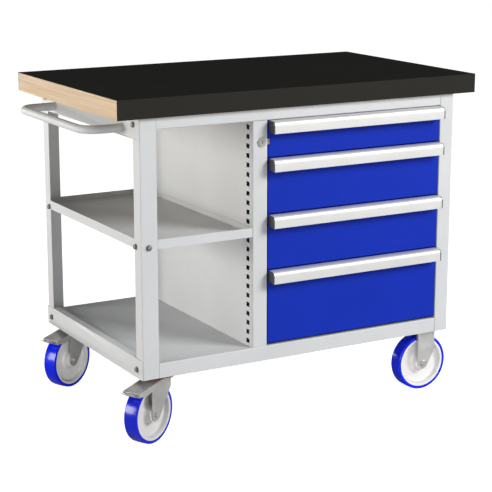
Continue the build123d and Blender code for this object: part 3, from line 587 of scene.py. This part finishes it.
# ---------------------------------------------------------------------------
# Geometry node trees
# ---------------------------------------------------------------------------
class ShapeTree:
    """A new geometry node group, with short ways to add its nodes, join them and run it."""

    def __init__(self, name, **sockets):
        self.tree = bpy.data.node_groups.new(name, "GeometryNodeTree")
        interface = self.tree.interface
        interface.new_socket("Geometry", in_out="INPUT", socket_type="NodeSocketGeometry")
        for label, kind in sockets.items():
            interface.new_socket(label.replace("_", " "), in_out="INPUT", socket_type=f"NodeSocket{kind}")
        interface.new_socket("Material", in_out="INPUT", socket_type="NodeSocketMaterial")
        interface.new_socket("Geometry", in_out="OUTPUT", socket_type="NodeSocketGeometry")
        self.given = self.tree.nodes.new("NodeGroupInput").outputs
        self.result = self.tree.nodes.new("NodeGroupOutput").inputs["Geometry"]

    def add(self, kind, inputs=None, **settings):
        """Add a node; an input may be a value or another node's output."""
        node = self.tree.nodes.new(kind)
        for setting, value in settings.items():
            setattr(node, setting, value)
        for socket, value in (inputs or {}).items():
            if isinstance(value, bpy.types.NodeSocket):
                self.tree.links.new(value, node.inputs[socket])
            else:
                node.inputs[socket].default_value = value
        return node

    def sum(self, first, second, factor=1.0):
        """The first number plus the second times a factor."""
        values = {0: second, 1: factor, 2: first}
        return self.add("ShaderNodeMath", values, operation="MULTIPLY_ADD").outputs["Value"]

    def raised(self, geometry, height):
        """Geometry moved up its own Z."""
        offset = self.add("ShaderNodeCombineXYZ", {"Z": height}).outputs["Vector"]
        values = {"Geometry": geometry, "Translation": offset}
        return self.add("GeometryNodeTransform", values).outputs["Geometry"]

    def end(self, geometry):
        """Finish the tree: real geometry, in the given material."""
        real = self.add("GeometryNodeRealizeInstances", {"Geometry": geometry}).outputs["Geometry"]
        values = {"Geometry": real, "Material": self.given["Material"]}
        finished = self.add("GeometryNodeSetMaterial", values).outputs["Geometry"]
        self.tree.links.new(finished, self.result)

    def run(self, name, mesh, material, **values):
        """The plain mesh that this tree makes of another mesh."""
        source = bpy.data.objects.new(name, mesh)
        bpy.context.scene.collection.objects.link(source)
        modifier = source.modifiers.new(self.tree.name, "NODES")
        modifier.node_group = self.tree
        chosen = {label.replace("_", " "): value for label, value in values.items()} | {"Material": material}
        for item in self.tree.interface.items_tree:
            if item.in_out == "INPUT" and item.name in chosen:
                modifier[item.identifier] = chosen[item.name]
        return finished_mesh(source, name)


def screw_tree():
    """A hexagon head with a chamfer, its washer and its shank, on each point and facing its way."""
    shape = ShapeTree(
        "Hexagon screws", Head_radius="Float", Head_height="Float", Washer_radius="Float",
        Washer_thickness="Float", Shank_radius="Float", Shank_length="Float", Seed="Int",
    )
    given = shape.given
    chamfer = 0.14
    half_washer = shape.sum(0.0, given["Washer thickness"], 0.5)
    flat_height = shape.sum(0.0, given["Head height"], 1 - chamfer)
    head_middle = shape.sum(given["Washer thickness"], given["Head height"], (1 - chamfer) / 2)
    head_shoulder = shape.sum(given["Washer thickness"], given["Head height"], 1 - chamfer)
    washer = shape.add(
        "GeometryNodeMeshCylinder",
        {"Vertices": 32, "Radius": given["Washer radius"], "Depth": given["Washer thickness"]},
    ).outputs["Mesh"]
    head = shape.add(
        "GeometryNodeMeshCylinder", {"Vertices": 6, "Radius": given["Head radius"], "Depth": flat_height}
    ).outputs["Mesh"]
    crown = shape.add(
        "GeometryNodeMeshCone",
        {
            "Vertices": 6,
            "Radius Bottom": given["Head radius"],
            "Radius Top": shape.sum(0.0, given["Head radius"], 0.82),
            "Depth": shape.sum(0.0, given["Head height"], chamfer),
        },
    ).outputs["Mesh"]
    shank = shape.add(
        "GeometryNodeMeshCylinder",
        {"Vertices": 20, "Radius": given["Shank radius"], "Depth": given["Shank length"]},
    ).outputs["Mesh"]
    pieces = shape.add("GeometryNodeJoinGeometry")
    for geometry, height in (
        (washer, half_washer),
        (head, head_middle),
        (crown, head_shoulder),
        (shank, shape.sum(0.0, given["Shank length"], -0.5)),
    ):
        shape.tree.links.new(shape.raised(geometry, height), pieces.inputs["Geometry"])
    facing = shape.add("GeometryNodeInputNamedAttribute", {"Name": "facing"}, data_type="FLOAT_VECTOR")
    turned_out = shape.add(
        "FunctionNodeAlignRotationToVector", {"Vector": facing.outputs["Attribute"]}, axis="Z"
    ).outputs["Rotation"]
    angle = shape.add(
        "FunctionNodeRandomValue", {"Min": 0.0, "Max": math.pi, "Seed": given["Seed"]}, data_type="FLOAT"
    )
    spin_value = next(output for output in angle.outputs if output.enabled)
    spin = shape.add("FunctionNodeAxisAngleToRotation", {"Axis": (0.0, 0.0, 1.0), "Angle": spin_value})
    rotation = shape.add(
        "FunctionNodeRotateRotation",
        {"Rotation": turned_out, "Rotate By": spin.outputs["Rotation"]},
        rotation_space="LOCAL",
    ).outputs["Rotation"]
    instances = shape.add(
        "GeometryNodeInstanceOnPoints",
        {"Points": given["Geometry"], "Instance": pieces.outputs["Geometry"], "Rotation": rotation},
    ).outputs["Instances"]
    shape.end(instances)
    return shape


def extrusion_tree():
    """A flat profile drawn out along X into a closed bar."""
    shape = ShapeTree("Extruded profile", Length="Float")
    given = shape.given
    offset = shape.add("ShaderNodeCombineXYZ", {"X": given["Length"]}).outputs["Vector"]
    values = {"Mesh": given["Geometry"], "Offset": offset, "Individual": False}
    bar = shape.add("GeometryNodeExtrudeMesh", values, mode="FACES").outputs["Mesh"]
    other_end = shape.add("GeometryNodeFlipFaces", {"Mesh": given["Geometry"]}).outputs["Mesh"]
    both = shape.add("GeometryNodeJoinGeometry")
    for geometry in (bar, other_end):
        shape.tree.links.new(geometry, both.inputs["Geometry"])
    closed = shape.add(
        "GeometryNodeMergeByDistance", {"Geometry": both.outputs["Geometry"], "Distance": 0.001 * MM}
    ).outputs["Geometry"]
    shape.end(closed)
    return shape


def tube_tree():
    """A round tube along an open line, with its corners bent to one radius."""
    shape = ShapeTree("Bent tube", Tube_radius="Float", Bend_radius="Float", Bend_steps="Int")
    given = shape.given
    line = shape.add("GeometryNodeMeshToCurve", {"Mesh": given["Geometry"]}).outputs["Curve"]
    route = shape.add(
        "GeometryNodeFilletCurve",
        {"Curve": line, "Count": given["Bend steps"], "Radius": given["Bend radius"]},
        mode="POLY",
    ).outputs["Curve"]
    circle = shape.add(
        "GeometryNodeCurvePrimitiveCircle", {"Resolution": 40, "Radius": given["Tube radius"]}, mode="RADIUS"
    ).outputs["Curve"]
    tube = shape.add(
        "GeometryNodeCurveToMesh", {"Curve": route, "Profile Curve": circle, "Fill Caps": True}
    ).outputs["Mesh"]
    shape.end(tube)
    return shape


def points_mesh(name, places):
    """A mesh of loose points; places are (point, direction that it faces)."""
    mesh = bpy.data.meshes.new(name)
    mesh.from_pydata([point for point, _ in places], [], [])
    facing = mesh.attributes.new("facing", "FLOAT_VECTOR", "POINT")
    for value, (_, direction) in zip(facing.data, places):
        value.vector = direction
    return mesh


# ---------------------------------------------------------------------------
# Operators, one for each piece or group of like pieces
# ---------------------------------------------------------------------------
class WorkbenchOperator(bpy.types.Operator):
    """Shared settings of the bench's operators."""

    bl_options = {"REGISTER"}


class WORKBENCH_OT_finishes(WorkbenchOperator):
    """Make every material and put it on the frame's own nodes"""

    bl_idname = "workbench.finishes"
    bl_label = "Finishes"

    def execute(self, context):
        FINISHES.update(make_finishes())
        for node, shown in frame["nodes"].items():
            shown.data.materials.clear()
            shown.data.materials.append(FINISHES[slot_of(node)])
        return {"FINISHED"}


class WORKBENCH_OT_carcass(WorkbenchOperator):
    """Round the edges of the folded sheet-steel carcass and its shelf"""

    bl_idname = "workbench.carcass"
    bl_label = "Carcass"

    def execute(self, context):
        panels = (
            "leg_front_left", "leg_rear_left", "upper_side_plate", "base_side_plate", "top_rail_front",
            "top_rail_rear", "base_tray", "shelf_tray", "cabinet_side_left", "cabinet_side_right",
            "cabinet_back",
        )
        for node in panels:
            rounded_copy(node, f"painted_{node}", sizes().sheet_edge)
        return {"FINISHED"}


class WORKBENCH_OT_worktop(WorkbenchOperator):
    """Make the board with its eased edges, and the covering folded over it"""

    bl_idname = "workbench.worktop"
    bl_label = "Worktop"

    def execute(self, context):
        rounded_copy("worktop_core", "beech_board", sizes().board_edge)
        rounded_copy("worktop_cover", "black_covering", sizes().sheet_edge)
        return {"FINISHED"}


class WORKBENCH_OT_drawers(WorkbenchOperator):
    """Round the edges of the drawer fronts, boxes and grip plugs"""

    bl_idname = "workbench.drawers"
    bl_label = "Drawers"

    def execute(self, context):
        for number in DRAWERS:
            rounded_copy(f"drawer_{number}_front", f"blue_front_{number}", sizes().sheet_edge)
            rounded_copy(f"drawer_{number}_box", f"steel_box_{number}", sizes().sheet_edge)
            plugs = f"drawer_{number}_end_caps"
            rounded_copy(plugs, f"grip_plugs_{number}", sizes().moulded_edge, shortest=2.0)
        return {"FINISHED"}


class WORKBENCH_OT_grips(WorkbenchOperator):
    """Draw out the aluminium grip across each drawer front"""

    bl_idname = "workbench.grips"
    bl_label = "Grips"

    def execute(self, context):
        s = sizes()
        tree = extrusion_tree()
        lip = 0.6 * MM
        gap = 0.1 * MM
        for number in DRAWERS:
            node = f"drawer_{number}_grip"
            low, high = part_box(node)
            high.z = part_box(f"drawer_{number}_front")[1].z - gap
            flange = low.z + s.grip_flange
            corners = (
                (high.y, flange), (high.y, high.z), (low.y, high.z), (low.y, low.z),
                (low.y + s.grip_wall, low.z), (low.y + s.grip_wall, high.z - s.grip_wall),
                (high.y - s.grip_wall, high.z - s.grip_wall), (high.y - s.grip_wall, flange),
            )
            radii = (lip, lip, s.grip_nose, lip, lip, s.grip_nose - s.grip_wall, lip, lip)
            outline = joined_edges(corners, radii)
            mesh = bpy.data.meshes.new(node)
            mesh.from_pydata([(low.x, y, z) for y, z in outline], [], [range(len(outline))])
            bar = tree.run(f"grip_profile_{number}", mesh, FINISHES["grip_aluminium"], Length=high.x - low.x)
            smooth_round(bar)
            add_piece(f"aluminium_grip_{number}", bar, node)
        return {"FINISHED"}


class WORKBENCH_OT_push_handle(WorkbenchOperator):
    """Bend the push handle's tube and weld it to the upper side plate"""

    bl_idname = "workbench.push_handle"
    bl_label = "Push handle"

    def execute(self, context):
        s = sizes()
        low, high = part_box("push_handle")
        height = (low.z + high.z) / 2
        tip = low.x + s.handle_radius
        feet = (low.y + s.handle_radius, high.y - s.handle_radius)
        line = bpy.data.meshes.new("handle_line")
        corners = ((high.x, feet[0]), (tip, feet[0]), (tip, feet[1]), (high.x, feet[1]))
        line.from_pydata([(x, y, height) for x, y in corners], [(0, 1), (1, 2), (2, 3)], [])
        tube = tube_tree().run(
            "handle_tube", line, FINISHES["frame_paint"],
            Tube_radius=s.handle_radius, Bend_radius=s.handle_bend, Bend_steps=16,
        )
        arc_steps = 12
        turning_steps = 48
        shift = s.weld_width / 2 * 0.4
        inner = s.handle_radius - s.weld_width / 2
        angles = [math.pi * step / arc_steps for step in range(arc_steps + 1)]
        bead = [
            (inner + s.weld_width * (1 + math.cos(angle)) / 2 + shift, s.weld_width * math.sin(angle))
            for angle in angles
        ]
        beads = [
            turned("weld", Vector((high.x, foot, height)), Vector((-1, 0, 0)), bead, turning_steps)
            for foot in feet
        ]
        add_piece("bent_push_handle", joined("bent_push_handle", [tube, *beads]), "push_handle")
        return {"FINISHED"}


class WORKBENCH_OT_screws(WorkbenchOperator):
    """Set the hexagon screws and nuts of the frame and the castor plates"""

    bl_idname = "workbench.screws"
    bl_label = "Screws and nuts"

    def execute(self, context):
        s = sizes()
        tree = screw_tree()
        for node in ("frame_bolts", "castor_bolts"):
            screws, nuts = screw_places(node)
            groups = {}
            for place, length in screws:
                groups.setdefault(("screw", round(length, 4)), []).append(place)
            for place, height in nuts:
                groups.setdefault(("nut", round(height, 4)), []).append(place)
            made = []
            for seed, ((kind, length), places) in enumerate(sorted(groups.items())):
                name = f"{node}_{kind}_{seed}"
                is_nut = kind == "nut"
                made.append(tree.run(
                    name, points_mesh(name, places), FINISHES["bolt_steel"],
                    Head_radius=s.head_radius,
                    Head_height=length if is_nut else s.head_height,
                    Washer_radius=s.head_radius if is_nut else s.washer_radius,
                    Washer_thickness=0.02 * MM if is_nut else s.washer_thickness,
                    Shank_radius=s.shank_radius,
                    Shank_length=0.1 * MM if is_nut else length,
                    Seed=seed,
                ))
            add_piece(f"hexagon_{node}", joined(node, made), node)
        return {"FINISHED"}


def screw_places(node):
    """A CAD node's screws and nuts, each as ((point, facing), shank length or nut height)."""
    s = sizes()
    screws = []
    nuts = []
    for corners in islands(node):
        low = Vector(map(min, zip(*corners)))
        high = Vector(map(max, zip(*corners)))
        middle = (low + high) / 2
        axis = next(a for a in range(3) if is_screw_axis(corners, middle, a, s.washer_radius))
        side = widest_side(corners, middle, axis, s.washer_radius)
        facing = Vector((0, 0, 0))
        facing[axis] = side
        top, bottom = (high[axis], low[axis]) if side > 0 else (low[axis], high[axis])
        seat = middle.copy()
        seat[axis] = top - side * (s.washer_thickness + s.head_height)
        screws.append(((seat, facing), abs(seat[axis] - bottom)))
        nut = [
            corner[axis] for corner in corners
            if (seat[axis] - corner[axis]) * side > MM / 2
            and across(corner, middle, axis) > s.shank_radius + MM
        ]
        if nut:
            near, far = (max(nut), min(nut)) if side > 0 else (min(nut), max(nut))
            nut_seat = middle.copy()
            nut_seat[axis] = near
            nuts.append(((nut_seat, -facing), abs(near - far)))
    return screws, nuts


def islands(node):
    """The corner points of each separate solid in a CAD node."""
    body = bmesh.new()
    body.from_mesh(frame["nodes"][node].data)
    bmesh.ops.remove_doubles(body, verts=body.verts, dist=MERGE_DISTANCE)
    body.verts.ensure_lookup_table()
    found = []
    seen = set()
    for first in body.verts:
        if first.index in seen:
            continue
        seen.add(first.index)
        island = [first]
        for vert in island:
            for edge in vert.link_edges:
                other = edge.other_vert(vert)
                if other.index not in seen:
                    seen.add(other.index)
                    island.append(other)
        found.append([vert.co.copy() for vert in island])
    body.free()
    return found


def across(corner, middle, axis):
    """A corner's distance from a line through the middle along one axis."""
    away = corner - middle
    away[axis] = 0.0
    return away.length


def is_screw_axis(corners, middle, axis, washer_radius):
    """Whether nothing in a screw reaches further from this axis than its washer does."""
    return max(across(corner, middle, axis) for corner in corners) < washer_radius + WASHER_SLACK


def widest_side(corners, middle, axis, washer_radius):
    """Which way along an axis the washer lies from a screw's middle: 1 or -1."""
    rim = [corner[axis] for corner in corners if across(corner, middle, axis) > washer_radius - WASHER_SLACK]
    return 1 if sum(rim) / len(rim) > middle[axis] else -1


class WORKBENCH_OT_wheels(WorkbenchOperator):
    """Turn the wheel centres and their crowned tyres"""

    bl_idname = "workbench.wheels"
    bl_label = "Wheels"

    def execute(self, context):
        for castor in CASTORS:
            joint = JOINT[f"{castor}_roll"]
            centre = Vector(joint["pos_m"])
            axis = Vector(joint["axis"]).normalized()
            make_tyre(castor, centre, axis)
            make_wheel_centre(castor, centre, axis)
        return {"FINISHED"}


def node_ring(node, centre, axis):
    """A turned node's inner and outer radius, and its half width along the axis."""
    radii = []
    sides = []
    for vert in frame["nodes"][node].data.vertices:
        away = vert.co - centre
        side = away.dot(axis)
        sides.append(abs(side))
        radii.append((away - axis * side).length)
    return min(radii), max(radii), max(sides)


def make_tyre(castor, centre, axis):
    """A tread ring whose face is crowned from shoulder to shoulder."""
    inner, outer, half = node_ring(f"{castor}_tyre", centre, axis)
    shoulder = 3.2 * MM
    crown = 0.8 * MM
    steps = 16
    corners = [(inner, half), (outer - crown, half)]
    for step in range(1, steps):
        side = half * math.cos(math.pi * step / steps)
        corners.append((outer - crown * (side / half) ** 2, side))
    corners += [(outer - crown, -half), (inner, -half)]
    reach = [0.0, shoulder] + [0.0] * (steps - 1) + [shoulder, 0.0]
    outline = joined_edges(corners, reach, steps=6)
    mesh = turned(f"tyre_of_{castor}", centre, axis, outline, sizes().turning_steps)
    add_piece(f"tread_{castor}", mesh, f"{castor}_tyre")


def make_wheel_centre(castor, centre, axis):
    """Hub, dished web and bright bead, with every corner eased."""
    s = sizes()
    bore, outer, hub_half = node_ring(f"{castor}_rim", centre, axis)
    rim_half = node_ring(f"{castor}_tyre", centre, axis)[2]
    web_half = 4.5 * MM
    hub_radius = 22.5 * MM
    web_outer = outer - 9 * MM
    hub_foot = hub_radius + 2 * MM
    hub_flare = 5 * MM
    recess_edge = hub_radius - 8 * MM
    recess_foot = hub_radius - 9 * MM
    recess_side = hub_half - 1.2 * MM
    bead = outer - s.rim_bead
    bead_slope = 1.5 * MM
    bead_drop = 1.2 * MM
    # Each line is a (radius, side) corner and how far it is rounded, from the rim to the bore.
    half_section = (
        ((outer, rim_half), 0.0),
        ((bead, rim_half), 0.9 * MM),
        ((bead - bead_slope, rim_half - bead_drop - bead_slope), 1.2 * MM),
        ((web_outer, web_half), 2.0 * MM),
        ((hub_foot + hub_flare, web_half), 2.5 * MM),
        ((hub_foot, web_half + hub_flare), 2.5 * MM),
        ((hub_radius, hub_half), s.hub_round),
        ((recess_edge, hub_half), 1.0 * MM),
        ((recess_foot, recess_side), 0.6 * MM),
        ((bore, recess_side), 0.0),
    )
    section = half_section + tuple(((r, -side), reach) for (r, side), reach in reversed(half_section))
    outline = joined_edges([point for point, _ in section], [reach for _, reach in section], steps=5)
    mesh = turned(f"wheel_{castor}", centre, axis, outline, s.turning_steps)
    add_piece(f"wheel_centre_{castor}", mesh, f"{castor}_rim")


class WORKBENCH_OT_castors(WorkbenchOperator):
    """Round the castors' pressings, pins, levers and plates, and turn the seals"""

    bl_idname = "workbench.castors"
    bl_label = "Castors"

    def execute(self, context):
        s = sizes()
        for castor in SWIVELS:
            rounded_copy(f"{castor}_fork", f"pressed_fork_{castor}", s.pressed_edge, shortest=4.0)
            rounded_copy(f"{castor}_lever", f"brake_pedal_{castor}", s.sheet_edge, shortest=3.0)
            rounded_copy(f"{castor}_pins", f"axle_and_pin_{castor}", s.sheet_edge, shortest=3.0)
            rounded_copy(f"{castor}_plate", f"swivel_head_{castor}", s.sheet_edge)
        for castor in CASTORS:
            if castor not in SWIVELS:
                make_fixed_fork(castor)
        rounded_copy("fixed_axles", "fixed_axle_bolts", s.sheet_edge, shortest=3.0)
        rounded_copy("castor_supports", "castor_channels", s.sheet_edge)
        make_seals()
        return {"FINISHED"}


def make_fixed_fork(castor):
    """A top plate and two cheeks, each with an upright rib and a cut-off rear corner."""
    node = f"{castor}_fork"
    low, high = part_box(node)
    axle = Vector(JOINT[f"{castor}_roll"]["pos_m"])
    sheet = 3.0 * MM
    cheek_y = 27.0 * MM
    cheek_x = axle.x + 38.0 * MM
    cut_z = axle.z + 34 * MM
    cut_round = 14 * MM
    foot = axle.z - low.z
    foot_steps = 14
    foot_start = math.pi - math.radians(12.0)
    foot_end = math.pi * 1.72
    rib_x = axle.x - foot - 6 * MM
    rib_reach = 9.0 * MM
    rib_heel = axle.z + 9 * MM
    rib_toe = axle.z + 7 * MM
    knee_z = axle.z + 6 * MM
    knee_round = 5 * MM
    turn = (foot_end - foot_start) / foot_steps
    arc = [foot_start + turn * step for step in range(foot_steps + 1)]
    corners = [(rib_x, high.z), (rib_x, knee_z)]
    corners += [(axle.x + foot * math.cos(angle), axle.z + foot * math.sin(angle)) for angle in arc]
    corners += [(cheek_x, cut_z), (cheek_x, high.z)]
    reach = [0.0, knee_round] + [0.0] * len(arc) + [cut_round, 0.0]
    outline = joined_edges(corners, reach, steps=6)
    body = bmesh.new()
    for side in (-1, 1):
        face = axle.y + side * cheek_y
        inward = Vector((0, -side * sheet, 0))
        add_prism(body, [Vector((x, face, z)) for x, z in outline], inward)
        rib = [(rib_x, high.z), (rib_x, rib_heel), (rib_x + sheet, rib_toe), (rib_x + sheet, high.z)]
        rib_start = face - side * sheet / 2
        outward = Vector((0, side * rib_reach, 0))
        add_prism(body, [Vector((x, rib_start, z)) for x, z in rib], outward)
    plate = [(low.x, low.y), (high.x, low.y), (high.x, high.y), (low.x, high.y)]
    add_prism(body, [Vector((x, y, high.z)) for x, y in plate], Vector((0, 0, -sheet)))
    bmesh.ops.recalc_face_normals(body, faces=body.faces)
    add_piece(f"pressed_fork_{castor}", eased_mesh(body, node, sizes().pressed_edge, shortest=4.0), node)


def make_seals():
    """A soft-edged red ring round each swivel castor's ball race."""
    low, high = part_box("castor_seals")
    ring_width = 6.7 * MM
    lip_round = 2.5 * MM
    edge_round = 0.5 * MM
    turning_steps = 72
    rings = []
    for castor in SWIVELS:
        pivot = Vector(JOINT[f"{castor}_turn"]["pos_m"])
        centre = Vector((pivot.x, pivot.y, (low.z + high.z) / 2))
        outer = (high.x - low.x) / 2
        inner = outer - ring_width
        half = (high.z - low.z) / 2
        corners = ((outer, -half), (outer, half), (inner, half), (inner, -half))
        section = joined_edges(corners, (lip_round, edge_round, edge_round, edge_round), steps=5)
        rings.append(turned(castor, centre, Vector((0, 0, 1)), section, turning_steps, Vector((1, 0, 0))))
    add_piece("red_seals", joined("red_seals", rings), "castor_seals")


class WORKBENCH_OT_lock(WorkbenchOperator):
    """Round the lock's housing and its turning cylinder"""

    bl_idname = "workbench.lock"
    bl_label = "Lock"

    def execute(self, context):
        rounded_copy("lock_housing", "lock_body", sizes().sheet_edge, shortest=3.0)
        rounded_copy("lock_cylinder", "lock_barrel", sizes().sheet_edge, shortest=3.0)
        return {"FINISHED"}


class WORKBENCH_OT_slides(WorkbenchOperator):
    """Round the cabinet's and drawers' slide channels"""

    bl_idname = "workbench.slides"
    bl_label = "Slides"

    def execute(self, context):
        rounded_copy("cabinet_rails", "cabinet_slide_channels", sizes().sheet_edge)
        for number in DRAWERS:
            rounded_copy(f"drawer_{number}_slides", f"middle_slides_{number}", sizes().sheet_edge)
        return {"FINISHED"}


WARM_WHITE = (1.0, 0.965, 0.92)
# Each softbox's name, place, width and height in metres, power setting and tint.
SOFTBOXES = (
    ("Key", (3.2, -4.2, 3.3), (2.4, 2.2), "key_power", WHITE),
    ("Side", (-3.6, 0.45, 0.9), (1.2, 1.3), "side_power", WARM_WHITE),
    ("Front", (-0.7, -4.6, 0.42), (2.2, 0.55), "front_power", WHITE),
    ("Rear", (-2.4, 4.4, 1.0), (1.6, 1.4), "rear_power", WHITE),
)


class WORKBENCH_OT_studio(WorkbenchOperator):
    """Lay the floor, hang the lights and set up the camera"""

    bl_idname = "workbench.studio"
    bl_label = "Studio"

    def execute(self, context):
        studio = context.scene.workbench_studio
        make_floor(studio)
        make_sky(studio)
        for name, place, size, power, tint in SOFTBOXES:
            soft_light(name, place, size, getattr(studio, power), tint)
        shaded = bpy.data.collections.new("castors_in_shade")
        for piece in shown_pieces():
            if piece.name.endswith(("_rear", "fixed_front")):
                shaded.objects.link(piece)
        fill = soft_light("Castor fill", (-1.5, -3.0, 0.4), (1.0, 0.6), studio.castor_power)
        fill.light_linking.receiver_collection = shaded
        make_camera(studio)
        context.scene.view_settings.view_transform = "Standard"
        return {"FINISHED"}


def make_floor(studio):
    """A wide floor that stands in for a studio's backdrop too."""
    reach = 60.0
    mesh = bpy.data.meshes.new("studio_floor")
    corners = [(-reach, -reach, 0), (reach, -reach, 0), (reach, reach, 0), (-reach, reach, 0)]
    mesh.from_pydata(corners, [], [(0, 1, 2, 3)])
    mesh.materials.append(studio_floor("Studio floor", tuple(studio.floor_white), studio.floor_glow))
    floor = bpy.data.objects.new("studio_floor", mesh)
    bpy.context.scene.collection.objects.link(floor)
    floor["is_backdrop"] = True


def make_sky(studio):
    """Even white light from all round, behind which the backdrop is seen as plain white."""
    world = bpy.data.worlds.new("Studio")
    world.use_nodes = True
    nodes = world.node_tree.nodes
    links = world.node_tree.links
    light = nodes["Background"]
    light.inputs["Color"].default_value = (*WHITE, 1.0)
    light.inputs["Strength"].default_value = studio.sky_strength
    backdrop = nodes.new("ShaderNodeBackground")
    backdrop.inputs["Color"].default_value = (*WHITE, 1.0)
    choice = nodes.new("ShaderNodeMixShader")
    links.new(nodes.new("ShaderNodeLightPath").outputs["Is Camera Ray"], choice.inputs[0])
    links.new(light.outputs["Background"], choice.inputs[1])
    links.new(backdrop.outputs["Background"], choice.inputs[2])
    links.new(choice.outputs["Shader"], nodes["World Output"].inputs["Surface"])
    bpy.context.scene.world = world


def soft_light(name, place, size, power, tint=WHITE):
    """A softbox of the given width and height that faces the bench and isn't seen itself."""
    data = bpy.data.lights.new(name, "AREA")
    data.shape = "RECTANGLE"
    data.size, data.size_y = size
    data.color = tint
    data.energy = power
    light = bpy.data.objects.new(name, data)
    light.location = place
    middle = (CAD_BOX[0] + CAD_BOX[1]) / 2
    light.rotation_euler = (middle - Vector(place)).to_track_quat("-Z", "Y").to_euler()
    light.visible_camera = False
    bpy.context.scene.collection.objects.link(light)
    return light


def make_camera(studio):
    """A long lens that looks slightly down at the bench's left front corner."""
    data = bpy.data.cameras.new("Camera")
    data.lens = studio.lens
    camera = bpy.data.objects.new("Camera", data)
    level = math.cos(studio.elevation)
    back = Vector((
        math.sin(studio.azimuth) * level,
        -math.cos(studio.azimuth) * level,
        math.sin(studio.elevation),
    ))
    camera.location = Vector(studio.aim) + back * studio.distance
    camera.rotation_euler = (math.pi / 2 - studio.elevation, 0.0, studio.azimuth)
    bpy.context.scene.collection.objects.link(camera)
    bpy.context.scene.camera = camera


# ---------------------------------------------------------------------------
# Panel and registration
# ---------------------------------------------------------------------------
STEPS = (
    WORKBENCH_OT_finishes,
    WORKBENCH_OT_carcass,
    WORKBENCH_OT_worktop,
    WORKBENCH_OT_drawers,
    WORKBENCH_OT_grips,
    WORKBENCH_OT_push_handle,
    WORKBENCH_OT_screws,
    WORKBENCH_OT_wheels,
    WORKBENCH_OT_castors,
    WORKBENCH_OT_lock,
    WORKBENCH_OT_slides,
    WORKBENCH_OT_studio,
)
SETTINGS = {
    "workbench_colours": WorkbenchColours,
    "workbench_sizes": WorkbenchSizes,
    "workbench_studio": WorkbenchStudio,
}


class WORKBENCH_PT_panel(bpy.types.Panel):
    """The bench's steps and settings, in the sidebar of the 3D view"""

    bl_idname = "WORKBENCH_PT_panel"
    bl_label = "Mobile Workbench"
    bl_space_type = "VIEW_3D"
    bl_region_type = "UI"
    bl_category = "Workbench"

    def draw(self, context):
        for step in STEPS:
            self.layout.operator(step.bl_idname)
        for name, group in SETTINGS.items():
            box = self.layout.box()
            for setting in group.__annotations__:
                box.prop(getattr(context.scene, name), setting)


def register():
    """Register the settings, the operators and the panel."""
    for name, group in SETTINGS.items():
        bpy.utils.register_class(group)
        setattr(bpy.types.Scene, name, bpy.props.PointerProperty(type=group))
    for step in STEPS:
        bpy.utils.register_class(step)
    bpy.utils.register_class(WORKBENCH_PT_panel)


def unregister():
    """Take away what register added."""
    bpy.utils.unregister_class(WORKBENCH_PT_panel)
    for step in reversed(STEPS):
        bpy.utils.unregister_class(step)
    for name, group in SETTINGS.items():
        delattr(bpy.types.Scene, name)
        bpy.utils.unregister_class(group)


def main():
    """Register the settings and steps, then build the whole bench."""
    register()
    for step in STEPS:
        group, action = step.bl_idname.split(".")
        getattr(getattr(bpy.ops, group), action)()


if __name__ == "__main__":
    main()
